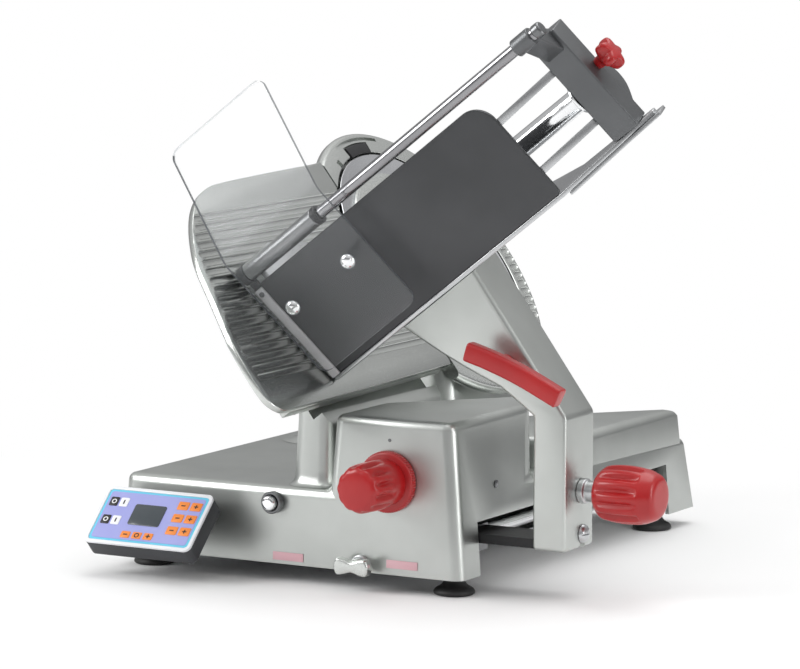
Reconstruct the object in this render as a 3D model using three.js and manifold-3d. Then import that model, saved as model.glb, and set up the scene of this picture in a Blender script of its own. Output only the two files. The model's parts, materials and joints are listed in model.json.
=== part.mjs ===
// Deli meat slicer: an assembly of separate solids, in millimetres, +Z up.
// Working axes: X to the operator's right, Y away from the operator, Z up from the floor.
// The base's front face is at Y = 0 and its right face at X = 0. The last lines move the whole
// assembly so that its origin is at the bottom centre of its bounding box.
import * as THREE from 'three';
import { mergeVertices } from 'three/addons/utils/BufferGeometryUtils.js';
import Module from 'manifold-3d';

const wasm = await Module();
wasm.setup();

// ---- Driving dimensions ----
const GAP = 0.3;                 // running gap between neighbouring solids
const TILT = 38.1;               // how far the blade leans back from upright, degrees
const CHUTE_ROLL = 20;           // chute wall turned about the blade's normal, degrees
const DRAFT = 4.5;               // casting draft of the sides, degrees
const FRONT_LEAN = 0.2;          // share of that draft on front faces
const REAR_LEAN = 2.6;           // and on the base's rear face
const WALL = 5;                  // casting wall

const FOOT_HEIGHT = 23;
const BASE = { x: [-505, 0], y: [0, 678], top: 122 };
const BOX = { x: [-202, 0], y: [0, 287], top: 221 };
const WING = { x: [-200, 0], y: [300, 678], top: 163 };
const NOTCH = { y: [53, 598], top: 91 };
const NECK = { x: [-260, -200], y: [12, 335], top: 330 };
const HOUSING = { x: [-446, -204], y: [352, 585], top: 415 };
const FOOT_ROWS = { front: 35, rear: 603 };
const FOOT_COLUMNS = { right: -28, left: -473 };

const BLADE_RADIUS = 175;
const COVER_RADIUS = 145;
const RING = { inner: 179, outer: 212, split: 436 };
const BLADE_CENTRE = { y: 558, up: 165 };      // in the plate frame
const HUB_BORE = 12 + GAP;
const MOTOR_DROP = 115;                         // blade shaft to motor shaft
const PULLEY = { big: 45, small: 20, from: -56, to: -40 };
const GAUGE_TRAVEL = 16;

const CHUTE = { start: 3, end: 412, depth: 152.7, wall: 6, floor: 6 };
const ROD = { w: -20, radius: 8, from: 3.5, to: 530 };
const SLEEVE = { from: 14, to: 138, radius: 12 };
const CROSS_BAR = { n: [491, 531], w: [27, 152.5], b: [45, 87] };
const ARM = { y: [49, 129], inner: 74, outer: 120, foot: 63, shoulder: 234 };
const PIVOT = { y: 98, z: 81 };
const CLAMP = { y: 94, z: 136 };
const GUIDE = { x: [-55, -125], z: 60, radius: 8 };

const THICKNESS_KNOB = { x: -104, z: 142 };
const BUTTON = { x: -271, z: 102 };
const SELECTOR = { x: -143, z: 33 };
const PANEL = { width: 159, height: 91, depth: 28, lift: 43.7 };

// ---- Frames ----
const radians = THREE.MathUtils.degToRad;
const X = new THREE.Vector3(1, 0, 0);
const Y = new THREE.Vector3(0, 1, 0);
const Z = new THREE.Vector3(0, 0, 1);
const normal = new THREE.Vector3(Math.cos(radians(TILT)), 0, Math.sin(radians(TILT)));
const upSlope = new THREE.Vector3(-Math.sin(radians(TILT)), 0, Math.cos(radians(TILT)));
const plateOrigin = new THREE.Vector3(-196, -85, 237);
const chuteOrigin = new THREE.Vector3(-302, -4, 372);
const panelOrigin = new THREE.Vector3(-500 + PANEL.width / 2, -63, 77.5);

function frameMatrix(x, y, z, origin) {
  return new THREE.Matrix4().makeBasis(x, y, z).setPosition(origin);
}

function combine(a, scaleA, b, scaleB) {
  return a.clone().multiplyScalar(scaleA).addScaledVector(b, scaleB);
}

// Plate frame: x along the carriage's travel, y up the slope, z out of the blade.
const plateFrame = frameMatrix(Y, upSlope, normal, plateOrigin);

// Chute frame: x up the chute, y down its wall, z from the wall into the chute.
const rollCos = Math.cos(radians(CHUTE_ROLL));
const rollSin = Math.sin(radians(CHUTE_ROLL));
const wallDown = combine(upSlope, -rollCos, Y, rollSin);
const chuteInward = combine(Y, rollCos, upSlope, rollSin);
const chuteFrame = frameMatrix(normal, wallDown, chuteInward, chuteOrigin);

// Panel frame: x to the right, y up the sloped panel, z out of it.
const liftCos = Math.cos(radians(PANEL.lift));
const liftSin = Math.sin(radians(PANEL.lift));
const panelUp = new THREE.Vector3(0, liftCos, liftSin);
const panelOut = new THREE.Vector3(0, -liftSin, liftCos);
const panelFrame = frameMatrix(X, panelUp, panelOut, panelOrigin);

// ---- Materials ----
function finish(color, roughness, metalness) {
  return new THREE.MeshStandardMaterial({ color, roughness, metalness });
}

const castAluminium = finish(0xb9bdba, 0.42, 1);
const darkAluminium = finish(0x5b5d5f, 0.4, 1);
const polishedSteel = finish(0xd9dadb, 0.12, 1);
const brushedSteel = finish(0xb5b7b8, 0.32, 1);
const blackSteel = finish(0x1b1c1d, 0.5, 0.4);
const redPlastic = finish(0xb8120e, 0.28, 0);
const blackRubber = finish(0x141414, 0.8, 0);
const charcoalPlastic = finish(0x3a3c40, 0.5, 0);
const whitePlastic = finish(0xe9ebee, 0.4, 0);
const panelBlue = finish(0x9fa3dc, 0.45, 0);
const displaySlate = finish(0x39434c, 0.2, 0);
const labelPink = finish(0xd9aab0, 0.5, 0);
const paintedMotor = finish(0x4a4f55, 0.55, 0.3);
const clearAcrylic = new THREE.MeshStandardMaterial({
  color: 0xf2f6f8, roughness: 0.05, metalness: 0, transparent: true, opacity: 0.25,
});

// ---- Solid helpers ----
function toSolid(geometry) {
  const bare = geometry.clone();
  bare.deleteAttribute('normal');
  bare.deleteAttribute('uv');
  const merged = mergeVertices(bare, 1e-4);
  const index = Array.from(merged.index.array);
  const kept = [];
  for (let i = 0; i < index.length; i += 3) {
    const [a, b, c] = index.slice(i, i + 3);
    if (a !== b && b !== c && c !== a) {
      kept.push(a, b, c);
    }
  }
  return new wasm.Manifold(new wasm.Mesh({
    numProp: 3,
    vertProperties: merged.attributes.position.array,
    triVerts: new Uint32Array(kept),
  }));
}

function toGeometry(solid) {
  const mesh = solid.getMesh();
  const geometry = new THREE.BufferGeometry();
  geometry.setAttribute('position', new THREE.BufferAttribute(mesh.vertProperties, 3));
  geometry.setIndex(new THREE.BufferAttribute(mesh.triVerts, 1));
  geometry.computeVertexNormals();
  return geometry;
}

function join(...geometries) {
  return toGeometry(geometries.map(toSolid).reduce((sum, solid) => sum.add(solid)));
}

function cut(geometry, ...tools) {
  return toGeometry(tools.map(toSolid).reduce((rest, tool) => rest.subtract(tool), toSolid(geometry)));
}

// ---- Shape helpers ----
function block([x0, x1], [y0, y1], [z0, z1]) {
  const geometry = new THREE.BoxGeometry(x1 - x0, y1 - y0, z1 - z0);
  return geometry.translate((x0 + x1) / 2, (y0 + y1) / 2, (z0 + z1) / 2);
}

// Solid of revolution about Z from [radius, height] points; the profile starts and ends on the
// axis, or closes on itself for a ring.
function turned(profile, segments = 20) {
  const points = profile.map(([radius, height]) => new THREE.Vector2(radius, height));
  return new THREE.LatheGeometry(points, segments).rotateX(Math.PI / 2);
}

function cylinder(radius, from, to, segments = 18) {
  return turned([[0, from], [radius, from], [radius, to], [0, to]], segments);
}

function tube(inner, outer, from, to, segments = 20) {
  return turned([[inner, from], [outer, from], [outer, to], [inner, to], [inner, from]], segments);
}

function polygon(points) {
  return new THREE.Shape(points.map(([x, y]) => new THREE.Vector2(x, y)));
}

function extruded(shape, from, to, curveSegments = 6) {
  const options = { depth: to - from, bevelEnabled: false, curveSegments };
  return new THREE.ExtrudeGeometry(shape, options).translate(0, 0, from);
}

// Extrusion of an (x, z) outline along Y, and of a (y, z) outline along X.
function extrudedAlongY(shape, from, to, curveSegments) {
  return extruded(shape, -to, -from, curveSegments).rotateX(Math.PI / 2);
}

function extrudedAlongX(shape, from, to, curveSegments) {
  return extruded(shape, from, to, curveSegments).applyMatrix4(new THREE.Matrix4().makeBasis(Y, Z, X));
}

// The axes of a turned part along Y or X, made along Z.
function alongY(geometry) {
  return geometry.rotateX(-Math.PI / 2);
}

function alongX(geometry) {
  return geometry.rotateY(Math.PI / 2);
}

function roundedShape([x0, x1], [y0, y1], radius) {
  const shape = new THREE.Shape();
  shape.moveTo(x0 + radius, y0);
  shape.lineTo(x1 - radius, y0);
  shape.absarc(x1 - radius, y0 + radius, radius, -Math.PI / 2, 0);
  shape.lineTo(x1, y1 - radius);
  shape.absarc(x1 - radius, y1 - radius, radius, 0, Math.PI / 2);
  shape.lineTo(x0 + radius, y1);
  shape.absarc(x0 + radius, y1 - radius, radius, Math.PI / 2, Math.PI);
  shape.lineTo(x0, y0 + radius);
  shape.absarc(x0 + radius, y0 + radius, radius, Math.PI, 1.5 * Math.PI);
  return shape;
}

// Closed skin over a stack of rings with equal point counts, capped at both ends.
function loft(rings) {
  const count = rings[0].length;
  const positions = rings.flat().flat();
  const index = [];
  for (let level = 0; level < rings.length - 1; level += 1) {
    for (let i = 0; i < count; i += 1) {
      const a = level * count + i;
      const b = level * count + (i + 1) % count;
      index.push(a, b, b + count, a, b + count, a + count);
    }
  }
  const last = (rings.length - 1) * count;
  for (let i = 1; i < count - 1; i += 1) {
    index.push(0, i + 1, i, last, last + i, last + i + 1);
  }
  const geometry = new THREE.BufferGeometry();
  geometry.setAttribute('position', new THREE.Float32BufferAttribute(positions, 3));
  geometry.setIndex(index);
  geometry.computeVertexNormals();
  return geometry;
}

// Casting block with drafted sides, rounded corners and a rounded top edge.
function casting({ x, y, z, corner = 18, edge = 14, rear = 1 }) {
  const cornerSteps = 4;
  const edgeSteps = 3;
  const levels = [{ height: z[0], lean: 0, round: 0 }];
  for (let i = 0; i <= edgeSteps; i += 1) {
    const angle = (Math.PI / 2) * (i / edgeSteps);
    const height = z[1] - edge + edge * Math.sin(angle);
    const lean = (z[1] - edge - z[0]) * Math.tan(radians(DRAFT));
    levels.push({ height, lean, round: edge * (1 - Math.cos(angle)) });
  }
  const rings = levels.map(({ height, lean, round }) => {
    const inset = lean + round;
    const radius = Math.max(corner - inset * 0.4, 2);
    const ring = [];
    for (let quarter = 0; quarter < 4; quarter += 1) {
      const right = quarter === 0 || quarter === 3;
      const far = quarter < 2;
      const centreX = right ? x[1] - inset - radius : x[0] + inset + radius;
      const centreY = far ? y[1] - lean * rear - round - radius : y[0] + lean * FRONT_LEAN + round + radius;
      for (let i = 0; i <= cornerSteps; i += 1) {
        const angle = (Math.PI / 2) * (quarter + i / cornerSteps);
        ring.push([centreX + radius * Math.cos(angle), centreY + radius * Math.sin(angle), height]);
      }
    }
    return ring;
  });
  return loft(rings);
}

function hollow({ x, y, z, corner = 18, edge = 14, rear = 1 }, wall) {
  const inset = ([low, high]) => [low + wall, high - wall];
  return casting({ x: inset(x), y: inset(y), z: [z[0] - 3, z[1] - wall], corner: corner - wall, edge, rear });
}

// Turned grip with lengthwise flutes: levels are [height, radius, flute depth].
function flutedGrip(levels, flutes, segments) {
  const rings = levels.map(([height, radius, depth]) => {
    const ring = [];
    for (let i = 0; i < segments; i += 1) {
      const angle = (2 * Math.PI * i) / segments;
      const reach = radius - depth * (0.5 - 0.5 * Math.cos(flutes * angle));
      ring.push([reach * Math.cos(angle), reach * Math.sin(angle), height]);
    }
    return ring;
  });
  return loft(rings);
}

function inPlateFrame(geometry) {
  return geometry.applyMatrix4(plateFrame);
}

// ---- Assembly ----
const slicer = new THREE.Group();

function subGroup(matrix, parent = slicer) {
  const group = new THREE.Group();
  matrix.decompose(group.position, group.quaternion, group.scale);
  parent.add(group);
  return group;
}

function piece(name, geometry, material, parent = slicer) {
  const mesh = new THREE.Mesh(geometry, material);
  mesh.name = name;
  parent.add(mesh);
  return mesh;
}

const plate = subGroup(plateFrame);
const blade = new THREE.Group();
blade.position.set(BLADE_CENTRE.y, BLADE_CENTRE.up, 0);
plate.add(blade);
const chute = subGroup(chuteFrame);
const panel = subGroup(panelFrame);

// ---- Base ----
// Everything to the rear left of a slanting line in plan, from height bottom up, kept wall away.
function behindLine([x0, y0], [x1, y1], bottom, wall = 0) {
  const along = new THREE.Vector2(x1 - x0, y1 - y0).normalize();
  const offset = new THREE.Vector2(along.y, -along.x).multiplyScalar(wall);
  const reach = 600;
  const start = new THREE.Vector2(x0, y0).add(offset).addScaledVector(along, -reach);
  const end = new THREE.Vector2(x1, y1).add(offset).addScaledVector(along, reach);
  const away = new THREE.Vector2(-along.y, along.x).multiplyScalar(reach);
  const plan = [start, end, end.clone().add(away), start.clone().add(away)];
  return extruded(polygon(plan.map((point) => [point.x, point.y])), bottom, bottom + reach);
}

// The knob box and the wing end in slanting rear faces above the deck.
const BOX_REAR = [[-180, 137], [-62, 275]];
const BOX_CORNER = [[-62, 275], [0, 196]];
const WING_REAR = [[-90, 540], [0, 642]];

function baseHousing() {
  const deck = { x: BASE.x, y: BASE.y, z: [FOOT_HEIGHT, BASE.top], rear: REAR_LEAN };
  const box = { x: BOX.x, y: BOX.y, z: [FOOT_HEIGHT, BOX.top] };
  const wing = { x: WING.x, y: WING.y, z: [FOOT_HEIGHT, WING.top], rear: REAR_LEAN };
  const above = BASE.top - 16;
  const trimmed = (shape, wall) => [
    shape(deck),
    cut(shape(box), behindLine(...BOX_REAR, above, wall), behindLine(...BOX_CORNER, above, wall)),
    cut(shape(wing), behindLine(...WING_REAR, above, wall)),
  ];
  const outer = join(...trimmed((part) => casting(part), 0));
  const notch = block([-WALL - 14, WALL], NOTCH.y, [FOOT_HEIGHT - 5, NOTCH.top]);
  return cut(outer, ...trimmed((part) => hollow(part, WALL), WALL), notch);
}

function bottomPlate() {
  const shape = roundedShape([BASE.x[0] + 9, -100], [BASE.y[0] + 9, BASE.y[1] - 12], 14);
  return extruded(shape, FOOT_HEIGHT + 1, FOOT_HEIGHT + 4, 3);
}

function rubberFoot() {
  const top = FOOT_HEIGHT - GAP;
  return turned([[0, 0], [24, 0], [26.5, 3], [25.5, 8], [16, 15], [13, top], [0, top]], 18);
}

piece('base_housing', baseHousing(), castAluminium);
piece('bottom_plate', bottomPlate(), brushedSteel);
for (const [row, y] of Object.entries(FOOT_ROWS)) {
  for (const [side, x] of Object.entries(FOOT_COLUMNS)) {
    piece(`foot_${row}_${side}`, rubberFoot(), blackRubber).position.set(x, y, 0);
  }
}

// ---- Neck and motor housing ----
const GUIDE_BOSS = { y: 140, up: 46, radius: 22, bore: 10 + GAP, from: -80, top: -28 };

function abovePlane(height) {
  return inPlateFrame(block([-200, 1000], [-600, 700], [height, height + 500]));
}

function neck() {
  const body = casting({ x: NECK.x, y: NECK.y, z: [BASE.top + GAP, NECK.top], corner: 20, edge: 10 });
  const { y, up, radius, bore, from, top } = GUIDE_BOSS;
  const boss = inPlateFrame(cylinder(radius, from, 0, 20).translate(y, up, 0));
  const hole = inPlateFrame(cylinder(bore, from + 8, 10, 20).translate(y, up, 0));
  const belowDeck = block([-700, 100], [-100, 700], [0, BASE.top + GAP]);
  const lipSlot = inPlateFrame(block([-200, 700], [-3, 21], [-GAUGE_TRAVEL - 27, 0]));
  return cut(join(body, boss), abovePlane(top), hole, belowDeck, lipSlot);
}

function motorHousing() {
  const shell = { x: HOUSING.x, y: HOUSING.y, z: [BASE.top + GAP, HOUSING.top], corner: 34, edge: 24 };
  const outer = cut(casting(shell), abovePlane(-23));
  const inner = cut(hollow(shell, 6), abovePlane(-30));
  const { y, up } = BLADE_CENTRE;
  const shaftHole = inPlateFrame(cylinder(26, -60, 0, 24).translate(y, up, 0));
  return cut(outer, inner, shaftHole);
}

piece('neck', neck(), castAluminium);
piece('motor_housing', motorHousing(), castAluminium);

// ---- Blade group: fixed dish and cover, turning blade, shaft and pulleys ----
function bladeDish() {
  const { inner, outer, split } = RING;
  const profile = [[28, -20.5], [outer - 4, -20.5], [outer, -16], [outer, -3], [outer - 3, 0],
    [inner, 0], [inner, -15.5], [28, -15.5], [28, -20.5]];
  const dish = turned(profile, 56);
  const frontLimit = split - BLADE_CENTRE.y;
  const rimGap = cut(
    block([-300, frontLimit], [-300, 300], [-30, 5]),
    cylinder(inner - 1, -40, 10, 56),
  );
  const slot = new THREE.Shape();
  slot.absarc(0, 0, 203, radians(76), radians(108), false);
  slot.absarc(0, 0, 198, radians(108), radians(76), true);
  const sharpenerOpening = block([-42, 18], [RING.inner - 6, 194], [-8, 5]);
  const ribs = [];
  for (let up = -112; up < 18; up += 13) {
    const reach = Math.sqrt((outer - 6) ** 2 - up ** 2);
    ribs.push(block([60, reach], [up - 4, up + 4], [-2.2, 3]));
  }
  const ribbed = ribs.map((rib) => cut(rib, cylinder(inner + 4, -10, 10, 36)));
  return cut(dish, rimGap, extruded(slot, -6, 5, 8), sharpenerOpening, ...ribbed);
}

function beltOutline(extra) {
  const lean = Math.asin((PULLEY.big - PULLEY.small) / MOTOR_DROP);
  const shape = new THREE.Shape();
  shape.absarc(0, 0, PULLEY.big + extra, -lean, Math.PI + lean, false);
  shape.absarc(0, -MOTOR_DROP, PULLEY.small + extra, Math.PI + lean, 2 * Math.PI - lean, false);
  return shape;
}

function driveBelt() {
  const { from, to } = PULLEY;
  const outer = extruded(beltOutline(4), from + 3, to - 3, 10);
  return cut(outer, extruded(beltOutline(GAP), from, to, 10));
}

function bladeDisc() {
  const profile = [[HUB_BORE, -11], [150, -11], [BLADE_RADIUS - 7, -7], [BLADE_RADIUS, -0.8],
    [BLADE_RADIUS - 1, -0.5], [151, -4.2], [140, -7], [HUB_BORE, -7], [HUB_BORE, -11]];
  return turned(profile, 48);
}

function bladeShaft() {
  return turned([[5, -60], [12, -60], [12, -15], [38, -15], [38, -11 - GAP], [12, -11 - GAP],
    [12, -7], [5, -7], [5, -60]], 20);
}

function pulley(radius, bore) {
  const { from, to } = PULLEY;
  return turned([[bore, from], [radius + 3, from], [radius + 3, from + 2], [radius, from + 2.6],
    [radius, to - 2.6], [radius + 3, to - 2], [radius + 3, to], [bore, to], [bore, from]], 24);
}

piece('blade_dish', bladeDish(), castAluminium, blade);
piece('blade', bladeDisc(), polishedSteel, blade);
piece('blade_shaft', bladeShaft(), brushedSteel, blade);
piece('blade_cover', turned([[0, -5.5], [COVER_RADIUS, -5.5], [COVER_RADIUS, -3], [COVER_RADIUS - 4, -1],
  [0, -0.8]], 48), castAluminium, blade);
piece('cover_tie_rod', turned([[0, -80], [9, -80], [9, -61], [4.6, -61], [4.6, -5.5 - GAP],
  [0, -5.5 - GAP]], 20), brushedSteel, blade);
piece('blade_bearing', tube(HUB_BORE, 26 - GAP, -38, -22), polishedSteel, blade);
piece('blade_pulley', pulley(PULLEY.big, HUB_BORE), darkAluminium, blade);
piece('drive_belt', driveBelt(), blackRubber, blade);
piece('blade_motor', turned([[0, -168], [44, -168], [48, -160], [48, -70], [44, -62], [0, -62]], 28),
  paintedMotor, blade).position.y = -MOTOR_DROP;
piece('motor_pulley', turned([[0, -61.6], [8, -61.6], [8, PULLEY.from], [PULLEY.small + 3, PULLEY.from],
  [PULLEY.small, PULLEY.from + 2.6], [PULLEY.small, PULLEY.to - 2.6],
  [PULLEY.small + 3, PULLEY.to], [0, PULLEY.to]], 24), darkAluminium, blade).position.y = -MOTOR_DROP;
piece('sharpener_bracket', block([-40, 16], [RING.inner - 2, 192], [-7.5, 2]), blackSteel, blade);

// ---- Thickness gauge ----
const GAUGE_FACE = -2;
const GAUGE_BACK = -9;

function gaugeOutline() {
  const shape = new THREE.Shape();
  const frontEdge = [[0, 0], [-16, 2], [-38, 17], [-40, 41], [-40, 80], [-30, 122], [-17, 163],
    [0, 218], [22, 253], [48, 282], [102, 318], [134, 328], [178, 332], [403, 338], [434, 340]];
  frontEdge.forEach(([y, up], i) => (i === 0 ? shape.moveTo(y, up) : shape.lineTo(y, up)));
  const reach = RING.inner + 1.5;
  const half = Math.acos((434 - BLADE_CENTRE.y) / reach);
  shape.absarc(BLADE_CENTRE.y, BLADE_CENTRE.up, reach, half, 2 * Math.PI - half, false);
  shape.lineTo(431, 10);
  shape.closePath();
  return shape;
}

function gaugePlate() {
  const sheet = extruded(gaugeOutline(), GAUGE_BACK, GAUGE_FACE, 16);
  const lipShape = polygon([[8, 1], [428, 10.8], [428, 17.8], [8, 8]]);
  const lip = extruded(lipShape, GAUGE_BACK - 14, GAUGE_FACE);
  const ribs = [];
  for (let up = 56; up <= 293; up += 13) {
    const frontX = up < 120 ? -22 : (up - 120) * 0.42 - 14;
    const foot = GAUGE_FACE - 1;
    const section = polygon([[up - 3.2, foot], [up + 3.2, foot], [up + 1.4, 0], [up - 1.4, 0]]);
    const across = BLADE_CENTRE.up - up;
    const rearX = BLADE_CENTRE.y - Math.sqrt((RING.inner + 5) ** 2 - across ** 2);
    ribs.push(extrudedAlongX(section, frontX, rearX));
  }
  return join(sheet, lip, ...ribs);
}

piece('gauge_plate', gaugePlate(), castAluminium, plate);
piece('gauge_shaft', cylinder(10, -52, GAUGE_BACK - GAP, 20), polishedSteel, plate)
  .position.set(GUIDE_BOSS.y, GUIDE_BOSS.up, 0);

// ---- Front controls: each turns or slides about its own -Y axis ----
function frontGroup(x, z) {
  const group = new THREE.Group();
  group.position.set(x, 0, z);
  group.rotation.x = Math.PI / 2;
  slicer.add(group);
  return group;
}

const knobGroup = frontGroup(THICKNESS_KNOB.x, THICKNESS_KNOB.z);
piece('thickness_dial', flutedGrip([[-1, 38.5, 0], [0, 39.5, 0.8], [8, 39.5, 0.8], [10, 37, 0]], 18, 36),
  redPlastic, knobGroup);
const KNOB_GRIP = [[10 + GAP, 28, 0], [14, 31, 3], [30, 32, 4.5], [60, 31, 4.5], [76, 28, 3.5],
  [83, 21, 1.5], [86, 10, 0]];
piece('thickness_knob', flutedGrip(KNOB_GRIP, 12, 48), redPlastic, knobGroup);

const buttonGroup = frontGroup(BUTTON.x, BUTTON.z);
piece('button_bezel', tube(10, 14.5, -0.8, 10, 24), darkAluminium, buttonGroup);
piece('push_button', turned([[0, 2.9], [9.6, 2.9], [9.6, 15], [8.4, 16.5], [0, 17.5]], 28),
  polishedSteel, buttonGroup);

const selectorGroup = frontGroup(SELECTOR.x, SELECTOR.z);
piece('selector_bezel', cylinder(12, GAP, 6, 20), brushedSteel, selectorGroup);
function selectorKnob() {
  const bow = polygon([[-25, -13], [-22, -13], [-8, -7], [8, -7], [22, -13], [25, -13],
    [25, 13], [22, 13], [8, 7], [-8, 7], [-22, 13], [-25, 13]]);
  return join(extruded(bow, 14, 30), cylinder(9, 6 + GAP, 15, 24));
}
piece('selector_knob', selectorKnob(), polishedSteel, selectorGroup);

const LABELS = { label_left: [-250, 33], label_right: [-84, 37] };
for (const [name, [x, z]] of Object.entries(LABELS)) {
  piece(name, block([x - 22.5, x + 22.5], [-0.9, -0.15], [z - 5.5, z + 5.5]), labelPink);
}

// ---- Control box ----
function controlBracket() {
  const side = polygon([[-0.5, 42], [-0.5, 80], [-19.4, 79.6], [-53.5, 47]]);
  return extrudedAlongX(side, -443, -397);
}

const halfWidth = PANEL.width / 2;
const halfHeight = PANEL.height / 2;
const BEZEL = 5;
piece('control_box', extruded(roundedShape([-halfWidth, halfWidth], [-halfHeight, halfHeight], 9),
  -PANEL.depth, -4), charcoalPlastic, panel);
piece('control_bezel', cut(
  extruded(roundedShape([-halfWidth, halfWidth], [-halfHeight, halfHeight], 9), -4 + GAP, 0),
  block([BEZEL - halfWidth, halfWidth - BEZEL], [BEZEL - halfHeight, halfHeight - BEZEL], [-6, 3]),
), whitePlastic, panel);
piece('control_panel', block([BEZEL + GAP - halfWidth, halfWidth - BEZEL - GAP],
  [BEZEL + GAP - halfHeight, halfHeight - BEZEL - GAP], [-4 + GAP, -0.8]), panelBlue, panel);
piece('display_window', extruded(roundedShape([-27, 20], [-14, 20], 3), -0.8 + GAP, 0.4, 3),
  displaySlate, panel);
piece('control_bracket', controlBracket(), brushedSteel);

// ---- Carriage: slides along two rods inside the base ----
function guideRod() {
  return alongY(cylinder(GUIDE.radius, 8, BASE.y[1] - 20, 20));
}

function slideBlock() {
  const body = block([-150, -30], [52, 128], [44, 78]);
  const bore = () => alongY(cylinder(GUIDE.radius + GAP, 40, 140, 20));
  const bores = GUIDE.x.map((x) => bore().translate(x, 0, GUIDE.z));
  return cut(body, ...bores);
}

// A bar out of the base's side, with the tongue that the tray's foot hooks over.
function carriageBar() {
  const bar = block([-30 + GAP, 104], [56, 122], [64, 76]);
  const tongue = block([90, 104], [60, 118], [64, 150]);
  const clampSlot = block([80, 110], [CLAMP.y - 8, CLAMP.y + 8], [CLAMP.z - 8, 160]);
  const pinHole = cylinder(6 + GAP, 80, 110, 16).rotateY(Math.PI / 2);
  return cut(join(bar, tongue), clampSlot, pinHole.translate(0, PIVOT.y, PIVOT.z));
}

piece('guide_rod_right', guideRod(), polishedSteel).position.set(GUIDE.x[0], 0, GUIDE.z);
piece('guide_rod_left', guideRod(), polishedSteel).position.set(GUIDE.x[1], 0, GUIDE.z);
piece('slide_block', slideBlock(), darkAluminium);
piece('carriage_bar', carriageBar(), blackSteel);
piece('pivot_pin', alongX(turned([[0, 90], [6, 90], [6, 120 + GAP], [12, 120 + GAP], [11.5, 123],
  [8, 126.5], [0, 128]], 24)), polishedSteel).position.set(0, PIVOT.y, PIVOT.z);

// ---- Arm: hooked foot, upright and slope up to the chute ----
function carriageArm() {
  const { y, inner, outer, foot, shoulder } = ARM;
  const rise = new THREE.Vector2(upSlope.x, upSlope.z).multiplyScalar(62);
  const front = [[inner, foot], [outer, foot], [outer, shoulder], [-16, 419], [-16 + rise.x, 419 + rise.y],
    [-118 + rise.x, 339 + rise.y], [-118, 339], [-112, 331], [-59, 303], [-23, 286], [27, 265], [inner, 232]];
  const body = extrudedAlongY(polygon(front), ...y);
  const pocket = block([87, 107], [54, 124], [foot - 5, 154]);
  const barGate = block([inner - 5, 90], [53, 125], [foot - 5, 79]);
  const pinGate = join(
    block([100, outer + 5], [PIVOT.y - 7, PIVOT.y + 7], [foot - 5, PIVOT.z]),
    alongX(cylinder(7, 100, outer + 5, 20)).translate(0, PIVOT.y, PIVOT.z),
  );
  const clampHole = alongX(cylinder(6 + GAP, 100, outer + 5, 20)).translate(0, CLAMP.y, CLAMP.z);
  const floorUnderside = CHUTE.depth + GAP + CHUTE.floor + GAP;
  const aboveFloor = block([-400, 900], [-600, floorUnderside], [-400, 600]).applyMatrix4(chuteFrame);
  return cut(body, pocket, barGate, pinGate, clampHole, aboveFloor);
}

function pushHandle() {
  const outline = new THREE.Shape();
  outline.moveTo(3, 326);
  outline.quadraticCurveTo(40, 308, 132, 276);
  outline.lineTo(134, 270);
  outline.lineTo(129, 250);
  outline.lineTo(123, 249);
  outline.quadraticCurveTo(50, 274, 2, 301);
  outline.closePath();
  const bar = extrudedAlongY(outline, 0, 22, 8);
  const post = alongY(cylinder(10, 20, ARM.y[0] - GAP, 20)).translate(36, 0, 298);
  return join(bar, post);
}

piece('carriage_arm', carriageArm(), castAluminium);
piece('push_handle', pushHandle(), redPlastic);
piece('clamp_knob', alongX(flutedGrip([[145, 26, 0], [152, 33, 3], [175, 37, 5], [200, 36, 5], [220, 31, 4],
  [228, 22, 1.5], [231, 10, 0]], 12, 48)), redPlastic).position.set(0, CLAMP.y, CLAMP.z);
piece('clamp_stud', alongX(turned([[0, 91], [6, 91], [6, 120 + GAP], [16, 120 + GAP], [16, 145 - GAP],
  [0, 145 - GAP]], 24)), brushedSteel).position.set(0, CLAMP.y, CLAMP.z);

// ---- Chute ----
function chuteWall() {
  const { start, end, depth, wall } = CHUTE;
  const radius = 30;
  const outline = new THREE.Shape();
  outline.moveTo(start, 0);
  outline.lineTo(end - radius, 0);
  outline.absarc(end - radius, radius, radius, -Math.PI / 2, 0);
  outline.lineTo(end, depth);
  outline.lineTo(start, depth);
  outline.closePath();
  const sheet = extruded(outline, 0, wall, 6);
  const lug = join(
    alongX(cylinder(13, start, 13.5, 24)).translate(0, ROD.w, 0),
    block([start, 13.5], [ROD.w, 6], [0, wall]),
  );
  const bore = alongX(cylinder(ROD.radius + GAP, start - 5, 20, 24)).translate(0, ROD.w, 0);
  return cut(join(sheet, lug), bore);
}

function chuteFloor() {
  const { start, end, depth, floor } = CHUTE;
  const top = depth + GAP;
  const outline = polygon([[start, 0], [end, 0], [546, 74], [546, 84], [425, 84], [300, 190], [start, 190]]);
  return extrudedAlongY(outline, top, top + floor);
}

function crossBar() {
  const { n, w, b } = CROSS_BAR;
  const bar = block(n, w, b);
  const arch = new THREE.Shape();
  arch.moveTo(60, b[1] - 2);
  arch.quadraticCurveTo(95, b[1] + 50, 132, b[1] - 2);
  arch.closePath();
  const bulge = extrudedAlongX(arch, ...n);
  const lugShape = polygon([[w[0] + 12, b[0] + 1], [w[0] + 12, b[1]], [ROD.w - 6, 22], [ROD.w + 2, 4]]);
  const lug = extrudedAlongX(lugShape, n[0] + 6, n[1] - 6);
  const eye = alongX(cylinder(14, n[0] + 6, n[1] - 6, 24)).translate(0, ROD.w, 0);
  const bore = alongX(cylinder(ROD.radius + GAP, n[0] - 5, n[1] + 5, 24)).translate(0, ROD.w, 0);
  return cut(join(bar, bulge, lug, eye), bore);
}

function flangedTube() {
  const end = CROSS_BAR.n[0] - GAP;
  const profile = [[0, 332], [15.5, 332], [15.5, end - 5], [22, end - 5], [22, end], [0, end]];
  return alongX(turned(profile, 28)).translate(0, 84, 66);
}

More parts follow.
